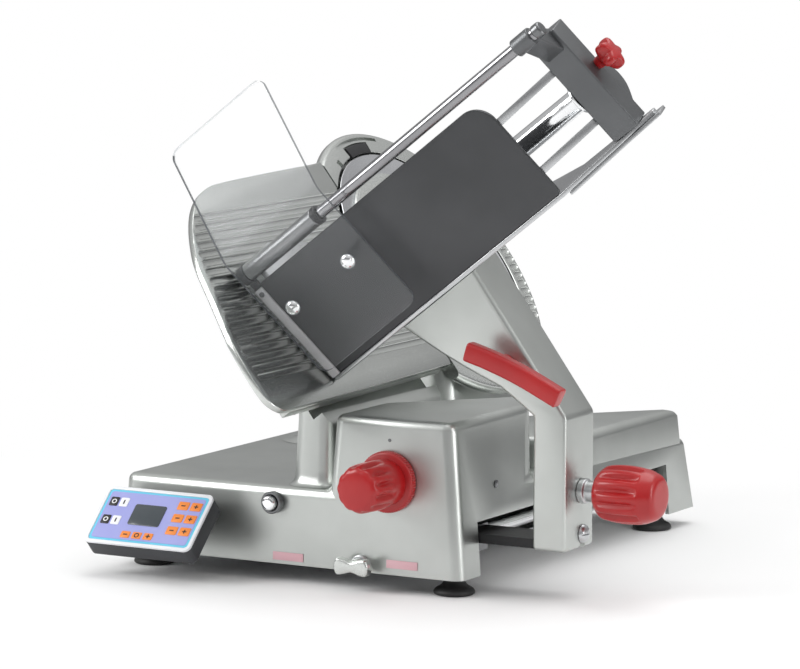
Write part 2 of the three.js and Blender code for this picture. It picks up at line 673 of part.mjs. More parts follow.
function stay(w, fromB, fromN) {
  const [n0] = CROSS_BAR.n;
  const width = 10;
  const side = polygon([[fromN, fromB], [fromN + 4, fromB], [n0 - GAP, CROSS_BAR.b[0] + 4],
    [n0 - GAP, CROSS_BAR.b[0] + 8], [fromN, fromB + 5]]);
  return extrudedAlongY(side, w, w + width);
}

const GUARD_SCREWS = [[146, 46], [44, 47]];

function clearGuard() {
  const bend = { w: -49, b: -27 };
  const thickness = 4.5;
  const [n0, n1] = [12, 182];
  const lower = extruded(roundedShape([n0, n1], [bend.w, 139], 14), bend.b - thickness, bend.b, 4);
  const squareTop = block([n0, n1], [bend.w, bend.w + 20], [bend.b - thickness, bend.b]);
  const upperLength = 173;
  const upper = extruded(roundedShape([n0, n1], [-upperLength, 0], 14), -thickness, 0, 4);
  const squareFoot = block([n0, n1], [-20, 0.8], [-thickness, 0]);
  const leanBack = radians(32.4);
  const folded = join(upper, squareFoot).rotateX(-leanBack).translate(0, bend.w, bend.b);
  const holes = GUARD_SCREWS.map(([n, w]) => cylinder(5 + GAP, -50, 10, 16).translate(n, w, 0));
  return cut(join(lower, squareTop, folded), ...holes);
}

// Slotted dome screw whose shank is also the spacer between guard and wall.
function guardScrew() {
  const profile = [[0, -GAP], [8, -GAP], [8, -27 + GAP], [5, -27 + GAP], [5, -31.5 - GAP],
    [10, -31.5 - GAP], [9.5, -34.5], [6.5, -37], [0, -38]];
  return turned(profile.reverse(), 16);
}

function slottedBracket() {
  const under = CHUTE.depth + GAP + CHUTE.floor + GAP;
  const plateShape = polygon([[418, 6], [500, 50], [552, 70], [552, 96], [470, 96], [425, 20]]);
  return extrudedAlongY(plateShape, under, under + 5);
}

function pressPlate() {
  const { w } = ROD;
  const outline = polygon([[w - 8, 13], [-2, 13], [5, 10.5], [146, 10.5], [150, 15], [150, 150], [10, 150],
    [w - 8, 70]]);
  return extrudedAlongX(outline, 18, 27);
}

function starKnob() {
  return flutedGrip([[0, 8, 0], [9, 9, 0], [13, 19, 7], [18, 22, 8], [27, 21, 8], [30, 16, 4]], 5, 40);
}

piece('chute_wall', chuteWall(), darkAluminium, chute);
piece('chute_floor', chuteFloor(), brushedSteel, chute);
piece('wear_strip', block([CHUTE.start, 15], [4, CHUTE.depth], [-4 - GAP, -GAP]), whitePlastic, chute);
piece('cross_bar', crossBar(), darkAluminium, chute);
piece('chute_tube', flangedTube(), polishedSteel, chute);
piece('stay_upper', stay(32, CHUTE.wall + GAP, 400), brushedSteel, chute);
piece('stay_lower', stay(112, CHUTE.wall + GAP, 400), brushedSteel, chute);
piece('slotted_bracket', slottedBracket(), brushedSteel, chute);
piece('clear_guard', clearGuard(), clearAcrylic, chute);
GUARD_SCREWS.forEach(([n, w], i) => {
  piece(`guard_screw_${i + 1}`, guardScrew(), polishedSteel, chute).position.set(n, w, 0);
});
piece('press_rod', alongX(cylinder(ROD.radius, ROD.from, ROD.to, 24)).translate(0, ROD.w, 0),
  polishedSteel, chute);
piece('rod_cap', alongX(cylinder(9.5, ROD.to + GAP, ROD.to + 12, 24)).translate(0, ROD.w, 0),
  blackSteel, chute);
piece('press_sleeve', alongX(tube(ROD.radius + GAP, SLEEVE.radius, SLEEVE.from, SLEEVE.to))
  .translate(0, ROD.w, 0), brushedSteel, chute);
piece('press_collar', alongX(tube(ROD.radius + GAP, 12.5, SLEEVE.to + GAP, SLEEVE.to + 8))
  .translate(0, ROD.w, 0), blackSteel, chute);
piece('press_plate', pressPlate(), brushedSteel, chute);
piece('star_knob', alongX(starKnob()), redPlastic, chute)
  .position.set(CROSS_BAR.n[1] + GAP, 66, 76);

// ---- Origin at the bottom centre of the assembly's bounding box ----
const bounds = new THREE.Box3().setFromObject(slicer, true);
const middle = bounds.getCenter(new THREE.Vector3());
slicer.position.set(-middle.x, -middle.y, -bounds.min.z);
slicer.updateMatrixWorld(true);

export default slicer;
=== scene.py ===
"""Deli meat slicer: the visual model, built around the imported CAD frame.

Lengths are millimetres in the slicer's working axes (X right, Y away from the operator, Z up, with
the base's front right bottom corner at X = 0, Y = 0) until piece() turns them into metres in the
row's frame.
"""
import json
import math

import bmesh
import bpy
from mathutils import Matrix, Vector


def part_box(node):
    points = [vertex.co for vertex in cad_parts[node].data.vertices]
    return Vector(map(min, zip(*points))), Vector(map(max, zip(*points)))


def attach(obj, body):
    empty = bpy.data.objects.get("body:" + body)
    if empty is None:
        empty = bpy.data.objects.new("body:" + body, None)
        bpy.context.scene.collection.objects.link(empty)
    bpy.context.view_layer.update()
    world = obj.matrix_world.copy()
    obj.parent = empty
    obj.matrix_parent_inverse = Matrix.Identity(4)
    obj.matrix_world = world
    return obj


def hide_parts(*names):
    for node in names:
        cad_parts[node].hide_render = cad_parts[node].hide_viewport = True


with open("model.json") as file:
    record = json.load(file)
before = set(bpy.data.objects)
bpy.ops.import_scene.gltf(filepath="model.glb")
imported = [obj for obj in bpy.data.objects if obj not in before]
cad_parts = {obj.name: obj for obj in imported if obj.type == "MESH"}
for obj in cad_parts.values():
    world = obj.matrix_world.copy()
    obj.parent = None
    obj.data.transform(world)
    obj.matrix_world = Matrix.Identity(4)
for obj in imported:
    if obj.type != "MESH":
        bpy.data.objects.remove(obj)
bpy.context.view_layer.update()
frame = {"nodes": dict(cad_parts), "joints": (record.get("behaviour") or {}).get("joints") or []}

MM = 0.001

# ---- Frames, worked out from the CAD model ----
joints = {joint["name"]: joint for joint in frame["joints"]}
base_low, base_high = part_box("base_housing")
work_origin = Vector((base_high.x, base_low.y, 0.0))
X = Vector((1, 0, 0))
Y = Vector((0, 1, 0))
Z = Vector((0, 0, 1))
normal = Vector(joints["blade_spin"]["axis"]).normalized()
up_slope = normal.cross(Y).normalized()
CHUTE_ROLL = math.radians(20)
wall_down = Y * math.sin(CHUTE_ROLL) - up_slope * math.cos(CHUTE_ROLL)
chute_inward = Y * math.cos(CHUTE_ROLL) + up_slope * math.sin(CHUTE_ROLL)
PANEL_LIFT = math.radians(43.7)
panel_up = Vector((0, math.cos(PANEL_LIFT), math.sin(PANEL_LIFT)))
panel_out = Vector((0, -math.sin(PANEL_LIFT), math.cos(PANEL_LIFT)))


def axes(x, y, z, origin):
    """A frame's matrix: local millimetres to the row's metres."""
    matrix = Matrix((x, y, z)).transposed().to_4x4()
    scaled = matrix @ Matrix.Scale(MM, 4)
    scaled.translation = work_origin + Vector(origin) * MM
    return scaled


BLADE_CENTRE = (558, 165)
PLATE_ORIGIN = Vector((-196, -85, 237))
CHUTE_ORIGIN = Vector((-302, -4, 372))
work = axes(X, Y, Z, (0, 0, 0))
plate = axes(Y, up_slope, normal, PLATE_ORIGIN)
blade_frame = plate @ Matrix.Translation((*BLADE_CENTRE, 0))
chute = axes(normal, wall_down, chute_inward, CHUTE_ORIGIN)
panel = axes(X, panel_up, panel_out, (-420.5, -63, 77.5))


def facing_operator(x, z):
    """Local z points at the operator, as on the front controls."""
    return axes(X, Z, -Y, (x, 0, z))


def facing_right(y, z):
    """Local z points to the operator's right."""
    return axes(Y, Z, X, (0, y, z))


# An outline's x and y become depth and height across the chute, and its z runs along the chute.
ACROSS_CHUTE = Matrix(((0, 0, 1, 0), (1, 0, 0, 0), (0, 1, 0, 0), (0, 0, 0, 1)))
# An outline's y becomes height, and its z runs towards the front.
UPRIGHT = Matrix(((1, 0, 0, 0), (0, 0, -1, 0), (0, 1, 0, 0), (0, 0, 0, 1)))


def along_chute(w, b, start=0):
    """Local z points up the chute."""
    return chute @ Matrix.Translation((start, w, b)) @ ACROSS_CHUTE


# ---- Materials ----
def new_material(name):
    material = bpy.data.materials.new(name)
    material.use_nodes = True
    nodes = material.node_tree.nodes
    return material, nodes, material.node_tree.links, nodes["Principled BSDF"]


def coordinates(nodes, links, scale):
    where = nodes.new("ShaderNodeTexCoord")
    mapping = nodes.new("ShaderNodeMapping")
    mapping.inputs["Scale"].default_value = scale
    links.new(where.outputs["Object"], mapping.inputs["Vector"])
    return mapping.outputs["Vector"]


def noise(nodes, links, vector, scale, detail=4.0):
    texture = nodes.new("ShaderNodeTexNoise")
    texture.inputs["Scale"].default_value = scale
    texture.inputs["Detail"].default_value = detail
    links.new(vector, texture.inputs["Vector"])
    return texture.outputs["Fac"]


def spread(nodes, links, value, low, high):
    """Maps a texture's 0.3 to 0.7 onto low to high."""
    mapped = nodes.new("ShaderNodeMapRange")
    mapped.inputs["From Min"].default_value = 0.3
    mapped.inputs["From Max"].default_value = 0.7
    mapped.inputs["To Min"].default_value = low
    mapped.inputs["To Max"].default_value = high
    links.new(value, mapped.inputs["Value"])
    return mapped.outputs["Result"]


def tint(nodes, links, value, dark, light):
    ramp = nodes.new("ShaderNodeValToRGB")
    ramp.color_ramp.elements[0].position = 0.3
    ramp.color_ramp.elements[0].color = (*dark, 1)
    ramp.color_ramp.elements[1].position = 0.7
    ramp.color_ramp.elements[1].color = (*light, 1)
    links.new(value, ramp.inputs["Fac"])
    return ramp.outputs["Color"]


def relief(nodes, links, shader, height, strength, distance):
    bump = nodes.new("ShaderNodeBump")
    bump.inputs["Strength"].default_value = strength
    bump.inputs["Distance"].default_value = distance
    links.new(height, bump.inputs["Height"])
    links.new(bump.outputs["Normal"], shader.inputs["Normal"])


def metal(name, dark, light, rough, brushed=None, grain=1400, strength=0.06, metallic=1.0):
    """Metal with cloudy colour, a roughness that varies, and a fine grain; brushed stretches the
    grain, as a scale on each axis."""
    material, nodes, links, shader = new_material(name)
    clouds = noise(nodes, links, coordinates(nodes, links, (1, 1, 1)), 9, 3)
    fine = noise(nodes, links, coordinates(nodes, links, brushed or (1, 1, 1)), grain, 2)
    links.new(tint(nodes, links, clouds, dark, light), shader.inputs["Base Color"])
    links.new(spread(nodes, links, fine, rough - 0.05, rough + 0.06), shader.inputs["Roughness"])
    relief(nodes, links, shader, fine, strength, 0.0004)
    shader.inputs["Metallic"].default_value = metallic
    return material


def plastic(name, dark, light, rough, coat=0.0, grain=900, strength=0.03):
    material, nodes, links, shader = new_material(name)
    clouds = noise(nodes, links, coordinates(nodes, links, (1, 1, 1)), 14, 3)
    fine = noise(nodes, links, coordinates(nodes, links, (1, 1, 1)), grain, 2)
    links.new(tint(nodes, links, clouds, dark, light), shader.inputs["Base Color"])
    links.new(spread(nodes, links, fine, rough - 0.03, rough + 0.05), shader.inputs["Roughness"])
    relief(nodes, links, shader, fine, strength, 0.0003)
    shader.inputs["Coat Weight"].default_value = coat
    shader.inputs["Coat Roughness"].default_value = 0.08
    return material


def clear(name, colour, alpha_facing, alpha_grazing):
    """A thin clear sheet: see-through face on, and reflective at a grazing angle."""
    material, nodes, links, shader = new_material(name)
    fresnel = nodes.new("ShaderNodeFresnel")
    fresnel.inputs["IOR"].default_value = 1.49
    mapped = nodes.new("ShaderNodeMapRange")
    mapped.inputs["From Min"].default_value = 0.04
    mapped.inputs["From Max"].default_value = 0.6
    mapped.inputs["To Min"].default_value = alpha_facing
    mapped.inputs["To Max"].default_value = alpha_grazing
    links.new(fresnel.outputs["Fac"], mapped.inputs["Value"])
    links.new(mapped.outputs["Result"], shader.inputs["Alpha"])
    haze = noise(nodes, links, coordinates(nodes, links, (1, 1, 1)), 6, 2)
    lighter = [min(c * 1.06, 1) for c in colour]
    links.new(tint(nodes, links, haze, colour, lighter), shader.inputs["Base Color"])
    shader.inputs["Roughness"].default_value = 0.04
    return material


CAST = metal("cast_aluminium", (0.50, 0.52, 0.50), (0.58, 0.60, 0.58), 0.34, strength=0.10)
POLISHED_CAST = metal("polished_cast", (0.60, 0.62, 0.60), (0.68, 0.70, 0.68), 0.24, strength=0.05)
RIBBED = metal("ribbed_aluminium", (0.56, 0.58, 0.56), (0.62, 0.64, 0.62), 0.22, strength=0.04)
DARK = metal("dark_wall", (0.060, 0.062, 0.065), (0.078, 0.080, 0.084), 0.40, strength=0.10, metallic=0.6)
DARK_BAR = metal("dark_bar", (0.12, 0.125, 0.13), (0.15, 0.155, 0.16), 0.36, strength=0.2, metallic=0.7)
BRUSHED = metal("brushed_steel", (0.52, 0.53, 0.54), (0.60, 0.61, 0.62), 0.30, (1, 1, 30), 500)
SATIN = metal("satin_steel", (0.22, 0.225, 0.23), (0.28, 0.285, 0.29), 0.30, (1, 1, 30), 500)
# Chrome rod given a dark base colour: painted dark reflection of the surroundings that the chrome mirrors.
ROD_PAINTED_REFLECTION = metal("rod_painted_dark_reflection", (0.26, 0.26, 0.27), (0.34, 0.34, 0.35), 0.14, strength=0.01)
CHROME = metal("chrome", (0.80, 0.81, 0.82), (0.86, 0.87, 0.88), 0.10, strength=0.01)
BLADE_STEEL = metal("blade_steel", (0.66, 0.67, 0.69), (0.74, 0.75, 0.77), 0.22, strength=0.04)
GUNMETAL = metal("gunmetal", (0.16, 0.165, 0.17), (0.20, 0.205, 0.21), 0.30, strength=0.06)
BLACK = metal("black_steel", (0.012, 0.012, 0.013), (0.022, 0.022, 0.024), 0.45, metallic=0.3)
RED = plastic("red_plastic", (0.36, 0.004, 0.006), (0.42, 0.007, 0.008), 0.32, coat=0.2)
RUBBER = plastic("black_rubber", (0.010, 0.010, 0.010), (0.020, 0.020, 0.020), 0.55, strength=0.15)
CHARCOAL = plastic("charcoal_plastic", (0.030, 0.032, 0.036), (0.042, 0.044, 0.050), 0.45, strength=0.12)
WHITE = plastic("white_plastic", (0.74, 0.75, 0.78), (0.82, 0.83, 0.85), 0.35)
LAVENDER = plastic("panel_film", (0.30, 0.32, 0.66), (0.36, 0.38, 0.72), 0.42)
CYAN = plastic("panel_border", (0.12, 0.52, 0.72), (0.16, 0.60, 0.80), 0.42)
SLATE = plastic("display_slate", (0.030, 0.040, 0.048), (0.045, 0.058, 0.068), 0.18, coat=0.6)
ORANGE = plastic("key_orange", (0.80, 0.22, 0.03), (0.88, 0.28, 0.05), 0.40)
KEY_WHITE = plastic("key_white", (0.80, 0.81, 0.83), (0.88, 0.88, 0.90), 0.40)
KEY_BLACK = plastic("key_black", (0.010, 0.010, 0.012), (0.020, 0.020, 0.022), 0.40)
PINK = plastic("label_plate", (0.62, 0.36, 0.40), (0.72, 0.46, 0.50), 0.45)
STRIP = plastic("wear_strip", (0.50, 0.50, 0.51), (0.66, 0.66, 0.67), 0.38, strength=0.10)
MOTOR_PAINT = plastic("motor_paint", (0.04, 0.045, 0.05), (0.06, 0.065, 0.07), 0.5, strength=0.1)
ACRYLIC = clear("clear_acrylic", (0.88, 0.91, 0.93), 0.035, 0.55)
# Dark, nearly opaque edge material: painted shade for the clear sheet's edges.
ACRYLIC_EDGE_SHADE = clear("acrylic_edge_painted_shade", (0.10, 0.11, 0.12), 0.75, 0.95)


# ---- Mesh making ----
def from_faces(points, faces):
    mesh = bpy.data.meshes.new("mesh")
    mesh.from_pydata([tuple(p) for p in points], [], faces)
    mesh.validate()
    return mesh


def loft(rings):
    """Closed skin over rings with equal point counts, capped at both ends."""
    count = len(rings[0])
    points = [p for ring in rings for p in ring]
    faces = []
    for level in range(len(rings) - 1):
        for i in range(count):
            a = level * count + i
            b = level * count + (i + 1) % count
            faces.append((a, b, b + count, a + count))
    last = (len(rings) - 1) * count
    faces.append(tuple(reversed(range(count))))
    faces.append(tuple(range(last, last + count)))
    return from_faces(points, faces)


def circle(radius, height, segments, centre=(0, 0)):
    return [
        (
            centre[0] + radius * math.cos(2 * math.pi * i / segments),
            centre[1] + radius * math.sin(2 * math.pi * i / segments),
            height,
        )
        for i in range(segments)
    ]


def rounded_profile(profile, radius, steps=4):
    """Rounds the inner corners of an open profile with short arcs."""
    result = [Vector(profile[0])]
    for before, corner, after in zip(profile, profile[1:], profile[2:]):
        corner = Vector(corner)
        back = Vector(before) - corner
        ahead = Vector(after) - corner
        reach = min(radius, back.length * 0.45, ahead.length * 0.45)
        start = corner + back.normalized() * reach
        end = corner + ahead.normalized() * reach
        for i in range(steps + 1):
            t = i / steps
            result.append(start * (1 - t) ** 2 + corner * 2 * t * (1 - t) + end * t ** 2)
    result.append(Vector(profile[-1]))
    return result


def turned(profile, segments=96, radius=0.0):
    """Solid of revolution about local z, from [radius, height] points that run from axis to axis."""
    line = rounded_profile(profile, radius) if radius else [Vector(p) for p in profile]
    rings = [circle(max(p[0], 0.01), p[1], segments) for p in line]
    return loft(rings)


def ring_skin(profile, segments):
    """Skin of a ring about local z, from a closed section of (radius, height) points."""
    points = [p for radius, height in profile for p in circle(radius, height, segments)]
    faces = []
    for level in range(len(profile)):
        a = level * segments
        b = ((level + 1) % len(profile)) * segments
        for i in range(segments):
            j = (i + 1) % segments
            faces.append((a + i, a + j, b + j, b + i))
    return from_faces(points, faces)


def tube(inner, outer, start, end, segments=96, bevel=0.6):
    """A ring with softened rims."""
    profile = [
        (inner, start + bevel), (inner + bevel, start), (outer - bevel, start), (outer, start + bevel),
        (outer, end - bevel), (outer - bevel, end), (inner + bevel, end), (inner, end - bevel),
    ]
    return ring_skin(profile, segments)


def prism(outline, start, end):
    """An outline of (x, y) points pulled from z = start to z = end."""
    return loft([[(x, y, start) for x, y in outline], [(x, y, end) for x, y in outline]])


def box(x, y, z):
    return prism([(x[0], y[0]), (x[1], y[0]), (x[1], y[1]), (x[0], y[1])], z[0], z[1])


def arc(centre, radius, start, end, steps=12):
    return [
        (
            centre[0] + radius * math.cos(math.radians(start + (end - start) * i / steps)),
            centre[1] + radius * math.sin(math.radians(start + (end - start) * i / steps)),
        )
        for i in range(steps + 1)
    ]


def rounded_rectangle(x, y, radius, steps=10):
    corners = [((x[1] - radius, y[0] + radius), -90), ((x[1] - radius, y[1] - radius), 0),
               ((x[0] + radius, y[1] - radius), 90), ((x[0] + radius, y[0] + radius), 180)]
    outline = []
    for centre, start in corners:
        outline += arc(centre, radius, start, start + 90, steps)
    return outline


def smooth_outline(points, steps=8):
    """A closed Catmull-Rom curve through the points."""
    outline = []
    count = len(points)
    for i in range(count):
        p0, p1, p2, p3 = (Vector(points[(i + k) % count]) for k in (-1, 0, 1, 2))
        for step in range(steps):
            t = step / steps
            outline.append(0.5 * (2 * p1 + (p2 - p0) * t + (2 * p0 - 5 * p1 + 4 * p2 - p3) * t ** 2
                                  + (3 * p1 - p0 - 3 * p2 + p3) * t ** 3))
    return [tuple(p) for p in outline]


def smooth_line(points, steps=8):
    """An open Catmull-Rom curve through the points."""
    padded = [points[0], *points, points[-1]]
    line = []
    for p0, p1, p2, p3 in zip(padded, padded[1:], padded[2:], padded[3:]):
        p0, p1, p2, p3 = Vector(p0), Vector(p1), Vector(p2), Vector(p3)
        for step in range(steps):
            t = step / steps
            line.append(0.5 * (2 * p1 + (p2 - p0) * t + (2 * p0 - 5 * p1 + 4 * p2 - p3) * t ** 2
                               + (3 * p1 - p0 - 3 * p2 + p3) * t ** 3))
    return [*line, Vector(points[-1])]


def apply_modifiers(obj):
    bpy.context.view_layer.update()
    evaluated = obj.evaluated_get(bpy.context.evaluated_depsgraph_get())
    mesh = bpy.data.meshes.new_from_object(evaluated)
    obj.modifiers.clear()
    obj.data = mesh


def temporary(mesh):
    obj = bpy.data.objects.new("temporary", mesh)
    bpy.context.scene.collection.objects.link(obj)
    return obj


def combined(mesh, others, operation):
    """The mesh joined with, or cut by, the others."""
    body = temporary(mesh)
    tools = [temporary(other) for other in others]
    for tool in tools:
        modifier = body.modifiers.new("boolean", "BOOLEAN")
        modifier.operation = operation
        modifier.object = tool
        modifier.solver = "EXACT"
    apply_modifiers(body)
    result = body.data
    for obj in [body, *tools]:
        bpy.data.objects.remove(obj)
    return result


def joined(mesh, *others):
    return combined(mesh, others, "UNION")


def cut(mesh, *others):
    return combined(mesh, others, "DIFFERENCE")


def together(*meshes):
    """Closed meshes put in one, each keeping its own surface."""
    edit = bmesh.new()
    for mesh in meshes:
        edit.from_mesh(mesh)
    result = bpy.data.meshes.new("mesh")
    edit.to_mesh(result)
    edit.free()
    return result


def bevelled(mesh, width, segments=4, angle=35):
    obj = temporary(mesh)
    modifier = obj.modifiers.new("bevel", "BEVEL")
    modifier.width = width
    modifier.segments = segments
    modifier.limit_method = "ANGLE"
    modifier.angle_limit = math.radians(angle)
    modifier.use_clamp_overlap = True
    apply_modifiers(obj)
    result = obj.data
    bpy.data.objects.remove(obj)
    return result


def moved(mesh, matrix):
    mesh.transform(matrix)
    return mesh


def piece(name, mesh, matrix, material, body, replaces=(), sharp=32):
    """Puts a mesh into the row's frame as a shown piece that rides on a body."""
    mesh.transform(matrix)
    cleaned = bmesh.new()
    cleaned.from_mesh(mesh)
    bmesh.ops.remove_doubles(cleaned, verts=cleaned.verts, dist=1e-6)
    bmesh.ops.recalc_face_normals(cleaned, faces=cleaned.faces)
    cleaned.to_mesh(mesh)
    cleaned.free()
    mesh.polygons.foreach_set("use_smooth", [True] * len(mesh.polygons))
    mesh.set_sharp_from_angle(angle=math.radians(sharp))
    mesh.name = name
    obj = bpy.data.objects.new(name, mesh)
    bpy.context.scene.collection.objects.link(obj)
    mesh.materials.clear()
    mesh.materials.append(material)
    if replaces:
        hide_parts(*([replaces] if isinstance(replaces, str) else replaces))
    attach(obj, body)
    return obj


def repaint(node, material):
    """Gives a kept CAD node its material, with smooth shading between its facets."""
    obj = frame["nodes"][node]
    obj.data.materials.clear()
    obj.data.materials.append(material)
    obj.data.polygons.foreach_set("use_smooth", [True] * len(obj.data.polygons))
    obj.data.set_sharp_from_angle(angle=math.radians(32))


# ---- Base, feet, neck and motor housing ----
DRAFT = math.tan(math.radians(4.5))
FRONT_LEAN = 0.2
REAR_LEAN = 2.6
BASE_X = (-505, 0)
BASE_Y = (0, 678)
FOOT_HEIGHT = 23
DECK_TOP = 122
BOX_X = (-202, 0)
BOX_Y = (0, 340)
BOX_TOP = 221
BOX_REAR = ((-180, 137), (-62, 275))
BOX_CORNER = ((-62, 275), (0, 196))
WING_X = (-200, -0.4)
WING_Y = (300, 677.6)
WING_TOP = 163
WING_REAR = ((-90, 556), (0, 658))
NARROW_X = -130
NARROW_Y = 500
NARROW_RADIUS = 4.5
BASE_CORNER = 16
WING_CORNER = 14
TOP_EDGE = 11
NOTCH_Y = (53, 598)
NOTCH_TOP = 91
plate_in_work = work.inverted() @ plate


def drafted_box(x, y, z, rear=1.0):
    """A casting block, wider at its foot; its front leans less and its rear as told."""
    lean = (z[1] - z[0]) * DRAFT
    bottom = [(x[0], y[0]), (x[1], y[0]), (x[1], y[1]), (x[0], y[1])]
    front = y[0] + lean * FRONT_LEAN
    back = y[1] - lean * rear
    top = [(x[0] + lean, front), (x[1] - lean, front), (x[1] - lean, back), (x[0] + lean, back)]
    return loft([[(*p, z[0]) for p in bottom], [(*p, z[1]) for p in top]])


def behind_line(start, end, bottom):
    """A block over everything to the left of a line in plan, seen from start to end."""
    start = Vector(start)
    end = Vector(end)
    along = (end - start).normalized()
    away = Vector((-along.y, along.x)) * 600
    start = start - along * 600
    end = end + along * 600
    return prism([tuple(start), tuple(end), tuple(end + away), tuple(start + away)], bottom, bottom + 600)


def rounded_edges(mesh, upright, level, keep_below):
    """Rounds upright edges and level ones by their own radius, and less at the wing's narrow rear end;
    edges at keep_below stay sharp."""
    edit = bmesh.new()
    edit.from_mesh(mesh)
    bmesh.ops.remove_doubles(edit, verts=edit.verts, dist=0.01)
    bmesh.ops.dissolve_limit(edit, angle_limit=math.radians(0.5), verts=edit.verts, edges=edit.edges)
    weight = edit.edges.layers.float.new("bevel_weight_edge")
    widest = max(upright, level)
    for edge in edit.edges:
        heights = [vert.co.z for vert in edge.verts]
        if len(edge.link_faces) < 2 or edge.calc_face_angle(0) < math.radians(25):
            continue
        if max(heights) < keep_below:
            continue
        steep = abs(heights[0] - heights[1]) > 5
        narrow = all(vert.co.y > NARROW_Y and vert.co.x > NARROW_X for vert in edge.verts)
        radius = NARROW_RADIUS if narrow else upright if steep else level
        edge[weight] = radius / widest
    edit.to_mesh(mesh)
    edit.free()
    obj = temporary(mesh)
    modifier = obj.modifiers.new("bevel", "BEVEL")
    modifier.width = widest
    modifier.segments = 8
    modifier.limit_method = "WEIGHT"
    modifier.use_clamp_overlap = False
    apply_modifiers(obj)
    result = obj.data
    bpy.data.objects.remove(obj)
    return result


def base_housing():
    """A hollow casting: deck and knob box in one, and the wing as a closed shell that stands in them."""
    deck = drafted_box(BASE_X, BASE_Y, (FOOT_HEIGHT, DECK_TOP), REAR_LEAN)
    above = DECK_TOP - 16
    whole_box = drafted_box(BOX_X, BOX_Y, (FOOT_HEIGHT, BOX_TOP))
    knob_box = cut(whole_box, behind_line(*BOX_REAR, above), behind_line(*BOX_CORNER, above))
    whole_wing = drafted_box(WING_X, WING_Y, (FOOT_HEIGHT + 0.4, WING_TOP), REAR_LEAN)
    slanted_wing = cut(whole_wing, behind_line(*WING_REAR, 0))
    wing = rounded_edges(slanted_wing, WING_CORNER, TOP_EDGE, FOOT_HEIGHT + 1)
    wing = cut(wing, box((-300, 100), (200, 800), (0, DECK_TOP - 10)))
    shell = rounded_edges(joined(deck, knob_box), BASE_CORNER, TOP_EDGE, FOOT_HEIGHT + 1)
    wall = 5
    under = FOOT_HEIGHT - 5
    hollows = [
        drafted_box((BASE_X[0] + wall, -wall), (wall, BASE_Y[1] - wall), (under, DECK_TOP - wall - 8),
                    REAR_LEAN),
        drafted_box((BOX_X[0] + 14, -wall - 6), (wall + 6, 196), (under, BOX_TOP - 14)),
    ]
    notch = box((-20, 8), NOTCH_Y, (FOOT_HEIGHT - 8, NOTCH_TOP))
    shell = together(cut(shell, *hollows, notch), wing)
    piece("housing", shell, work, CAST, "root", "base_housing", sharp=40)


FOOT_ROWS = {"front": 35, "rear": 603}
FOOT_COLUMNS = {"right": -28, "left": -473}


def foot(name, x, y):
    profile = [(0, 0), (23, 0), (26.4, 1.5), (26.4, 5), (24, 8), (17, 12), (14, 16), (13.4, 22.6), (0, 22.6)]
    mesh = moved(turned(profile, 64, 2), Matrix.Translation((x, y, 0)))
    piece(name + "_rubber", mesh, work, RUBBER, "root", name)


def flared_post(levels, x, y, radius, radius_gain):
    """A post from (height, flare) levels; each flare widens its outline and rounds it more."""
    rings = []
    for height, flare in levels:
        outline = rounded_rectangle((x[0] - flare, x[1] + flare), (y[0] - flare, y[1] + flare),
                                    radius + flare * radius_gain)
        rings.append([(px, py, height) for px, py in outline])
    return loft(rings)


def plate_space(bottom):
    """The space of the tilted plates, from bottom up along their normal."""
    return moved(box((-200, 1000), (-600, 700), (bottom, 500)), plate_in_work)


def neck():
    levels = [(122.3, 9), (123.5, 6.4), (126, 4), (130, 2), (136, 0.8), (144, 0), (330, -10)]
    post = flared_post(levels, (-260, -200), (22, 335), 20, 1)
    above = plate_space(-28)
    lip_slot = moved(box((-200, 700), (-3, 21), (-43, 0)), plate_in_work)
    boss = moved(turned([(0, -80), (22, -80), (22, 0), (0, 0)], 48, 1.5), Matrix.Translation((140, 46, 0)))
    body = joined(post, moved(boss, plate_in_work))
    piece("gauge_neck", cut(body, above, lip_slot), work, CAST, "root", "neck", sharp=40)


def motor_housing():
    levels = [(122.3, 26), (123, 20), (125, 14), (128, 9), (133, 4.5), (140, 1.5), (150, 0), (391, -19),
              (405, -23), (412, -31), (415, -43)]
    post = flared_post(levels, (-446, -204), (352, 585), 36, 0.5)
    above = plate_space(-23)
    piece("motor_cover", cut(post, above), work, CAST, "root", "motor_housing", sharp=40)


# ---- Blade, dish and cover ----
RING_INNER = 179
RING_OUTER = 212
RIB_PITCH = 13
BLADE_SEGMENTS = 192


def groove(start, end, centre, half_width, depth):
    """A scoop along local x with rounded ends and a rounded floor."""
    rings = []
    run = end - start
    ends = []
    for t in (0, 0.25, 0.6, 1.0):
        quarter = t * math.pi / 2
        ends.append((start + half_width * 1.2 * (1 - math.cos(quarter)), math.sin(quarter)))
    stations = ends + [(start + run - (x - start), k) for x, k in reversed(ends)]
    for x, k in stations:
        fullness = max(k, 0.05)
        ring = []
        for i in range(13):
            angle = math.pi * i / 12
            across = half_width * fullness * math.cos(angle)
            ring.append((x, centre - across, -depth * fullness * math.sin(angle)))
        ring.append((x, centre + half_width * fullness, 3))
        ring.append((x, centre - half_width * fullness, 3))
        rings.append(ring)
    return loft(rings)


